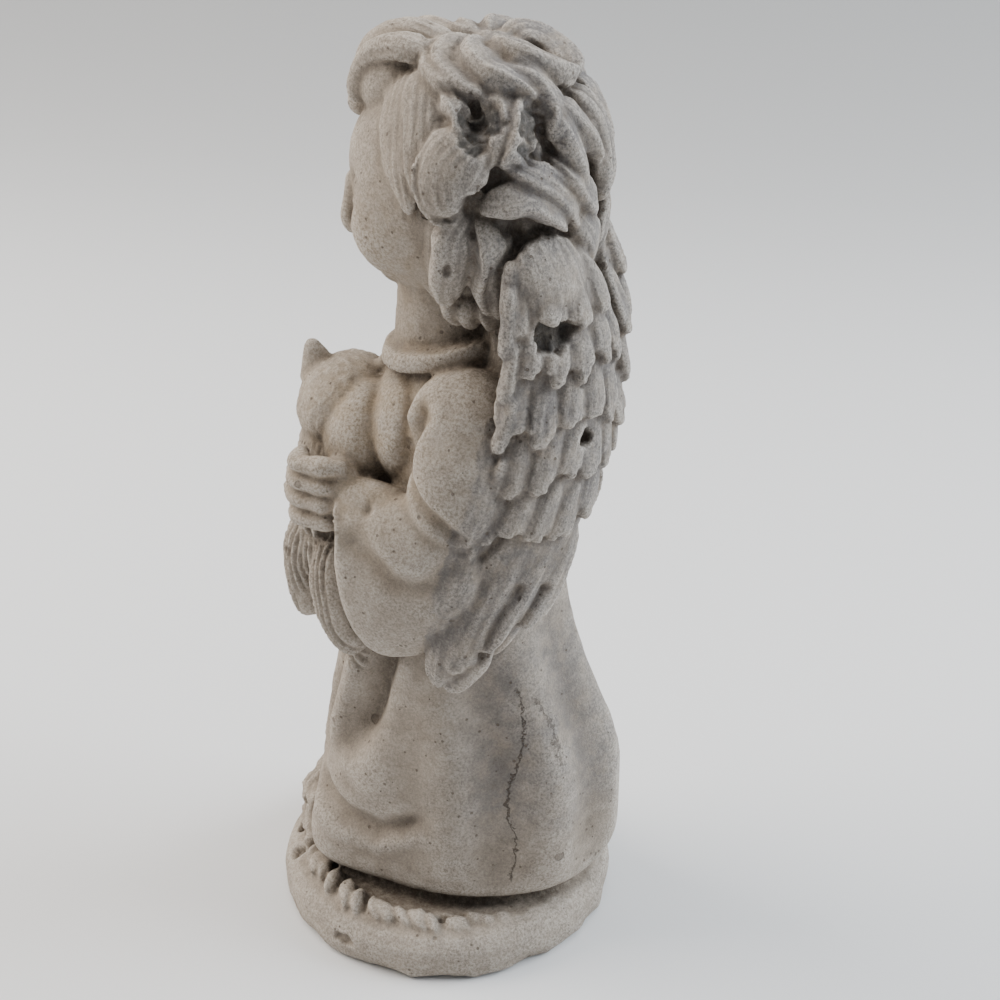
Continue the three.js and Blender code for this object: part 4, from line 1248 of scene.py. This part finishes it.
height = plus(tree, times(tree, sand, 0.30), times(tree, fine_sand, 0.16))
height = plus(tree, height, times(tree, cloud(tree, place_mm, 0.55, 4.0, 0.6), 0.35))
height = plus(tree, height, times(tree, tool_lines, 0.4))
height = maths(tree, "SUBTRACT", height, times(tree, holes, 0.9))
height = maths(tree, "SUBTRACT", height, times(tree, cracks, 0.9))
crumbled = times(tree, broken, cloud(tree, place_mm, 1.1, 6.0, 0.85))
height = plus(tree, height, times(tree, crumbled, 1.6))
relief_bump = put(tree, "ShaderNodeBump", Height=height, Strength=1.0, Distance=BUMP_DEPTH * MM)
tree.links.new(relief_bump.outputs[0], surface.inputs["Normal"])
statue.data.materials.clear()
statue.data.materials.append(stone)
print("stone", len(tree.nodes), "nodes")

# %% [markdown]
# ## Put the statue in the frame
#
# The whole casting rides on the one body and stands for the one solid.

# %% Frame calls
pick(statue)
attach(statue, "root")
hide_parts(NODE)

# %% [markdown]
# ## Floor, light and camera
#
# A pale sheet curves up far behind, and its colour is painted darker there as painted shade. A warm
# soft window stands on the side that the statue faces and a cool one at its back, with a gentler
# light overhead. The camera looks down a little on the statue's left side.

# %% Floor
SHEET = 2.4  # metres
CURVE_START, CURVE_RISE = -0.55, 1.1
SHADE_START, SHADE_END = -0.12, -0.95
PAPER_NEAR, PAPER_PAINTED_SHADE = (0.77, 0.773, 0.777, 1), (0.33, 0.335, 0.34, 1)
deselect_all()
bpy.ops.mesh.primitive_grid_add(x_subdivisions=40, y_subdivisions=2, size=SHEET)
floor = bpy.context.object
floor.name = "floor"
rows = get_points(floor) * MM
rise = np.clip(CURVE_START - rows[:, 0], 0, None)
rows[:, 2] = CURVE_RISE * rise**2
rows[:, 1] *= 2
floor.data.vertices.foreach_set("co", rows.ravel())
bpy.ops.object.shade_smooth()
paper = bpy.data.materials.new("floor_paper")
paper.use_nodes = True
sheet_tree = paper.node_tree
sheet_surface = sheet_tree.nodes["Principled BSDF"]
sheet_place = sheet_tree.nodes.new("ShaderNodeTexCoord")
sheet_spot = put(sheet_tree, "ShaderNodeSeparateXYZ", Vector=sheet_place.outputs["Object"])
# painted shade: the sheet's colour darkens towards the back
shade = step(sheet_tree, sheet_spot.outputs["X"], SHADE_START, SHADE_END)
sheet_colour = blend(sheet_tree, shade, PAPER_NEAR, PAPER_PAINTED_SHADE)
sheet_tree.links.new(sheet_colour, sheet_surface.inputs["Base Color"])
sheet_surface.inputs["Roughness"].default_value = 0.9
floor.data.materials.append(paper)

# %% Camera and lights
CAMERA_AT = (386.4, 103.5, 334.9)  # mm
CAMERA_LOOK = (-0.8575, -0.1959, -0.4758)
LIGHTS = [  # name, place in metres, size, watts, colour
    ("window", (-0.05, -1.0, 0.85), 0.9, 23, (1, 0.93, 0.85)),
    ("far_window", (-0.35, 1.1, 0.75), 0.9, 26, (0.86, 0.93, 1)),
    ("ceiling", (-0.1, 0.0, 1.5), 1.0, 14, (1, 0.99, 0.97)),
]
ROOM_COLOUR, ROOM_STRENGTH = (0.9, 0.94, 1, 1), 0.2


def aimed(name, data, spot, towards):
    made = bpy.data.objects.new(name, data)
    bpy.context.collection.objects.link(made)
    made.location = spot
    made.rotation_euler = Vector(towards).to_track_quat("-Z", "Y").to_euler()
    return made


camera_data = bpy.data.cameras.new("camera")
camera_data.lens = 64.8
camera_data.clip_start = 0.01
bpy.context.scene.camera = aimed("camera", camera_data, Vector(CAMERA_AT) * MM, CAMERA_LOOK)


def soft_light(name, spot, size, watts, colour):
    data = bpy.data.lights.new(name, "AREA")
    data.shape = "SQUARE"
    data.size = size
    data.energy = watts
    data.color = colour
    aimed(name, data, spot, Vector((0, 0, 0.12)) - Vector(spot))


for light in LIGHTS:
    soft_light(*light)
world = bpy.data.worlds.new("room")
bpy.context.scene.world = world
world.use_nodes = True
world.node_tree.nodes["Background"].inputs[0].default_value = ROOM_COLOUR
world.node_tree.nodes["Background"].inputs[1].default_value = ROOM_STRENGTH
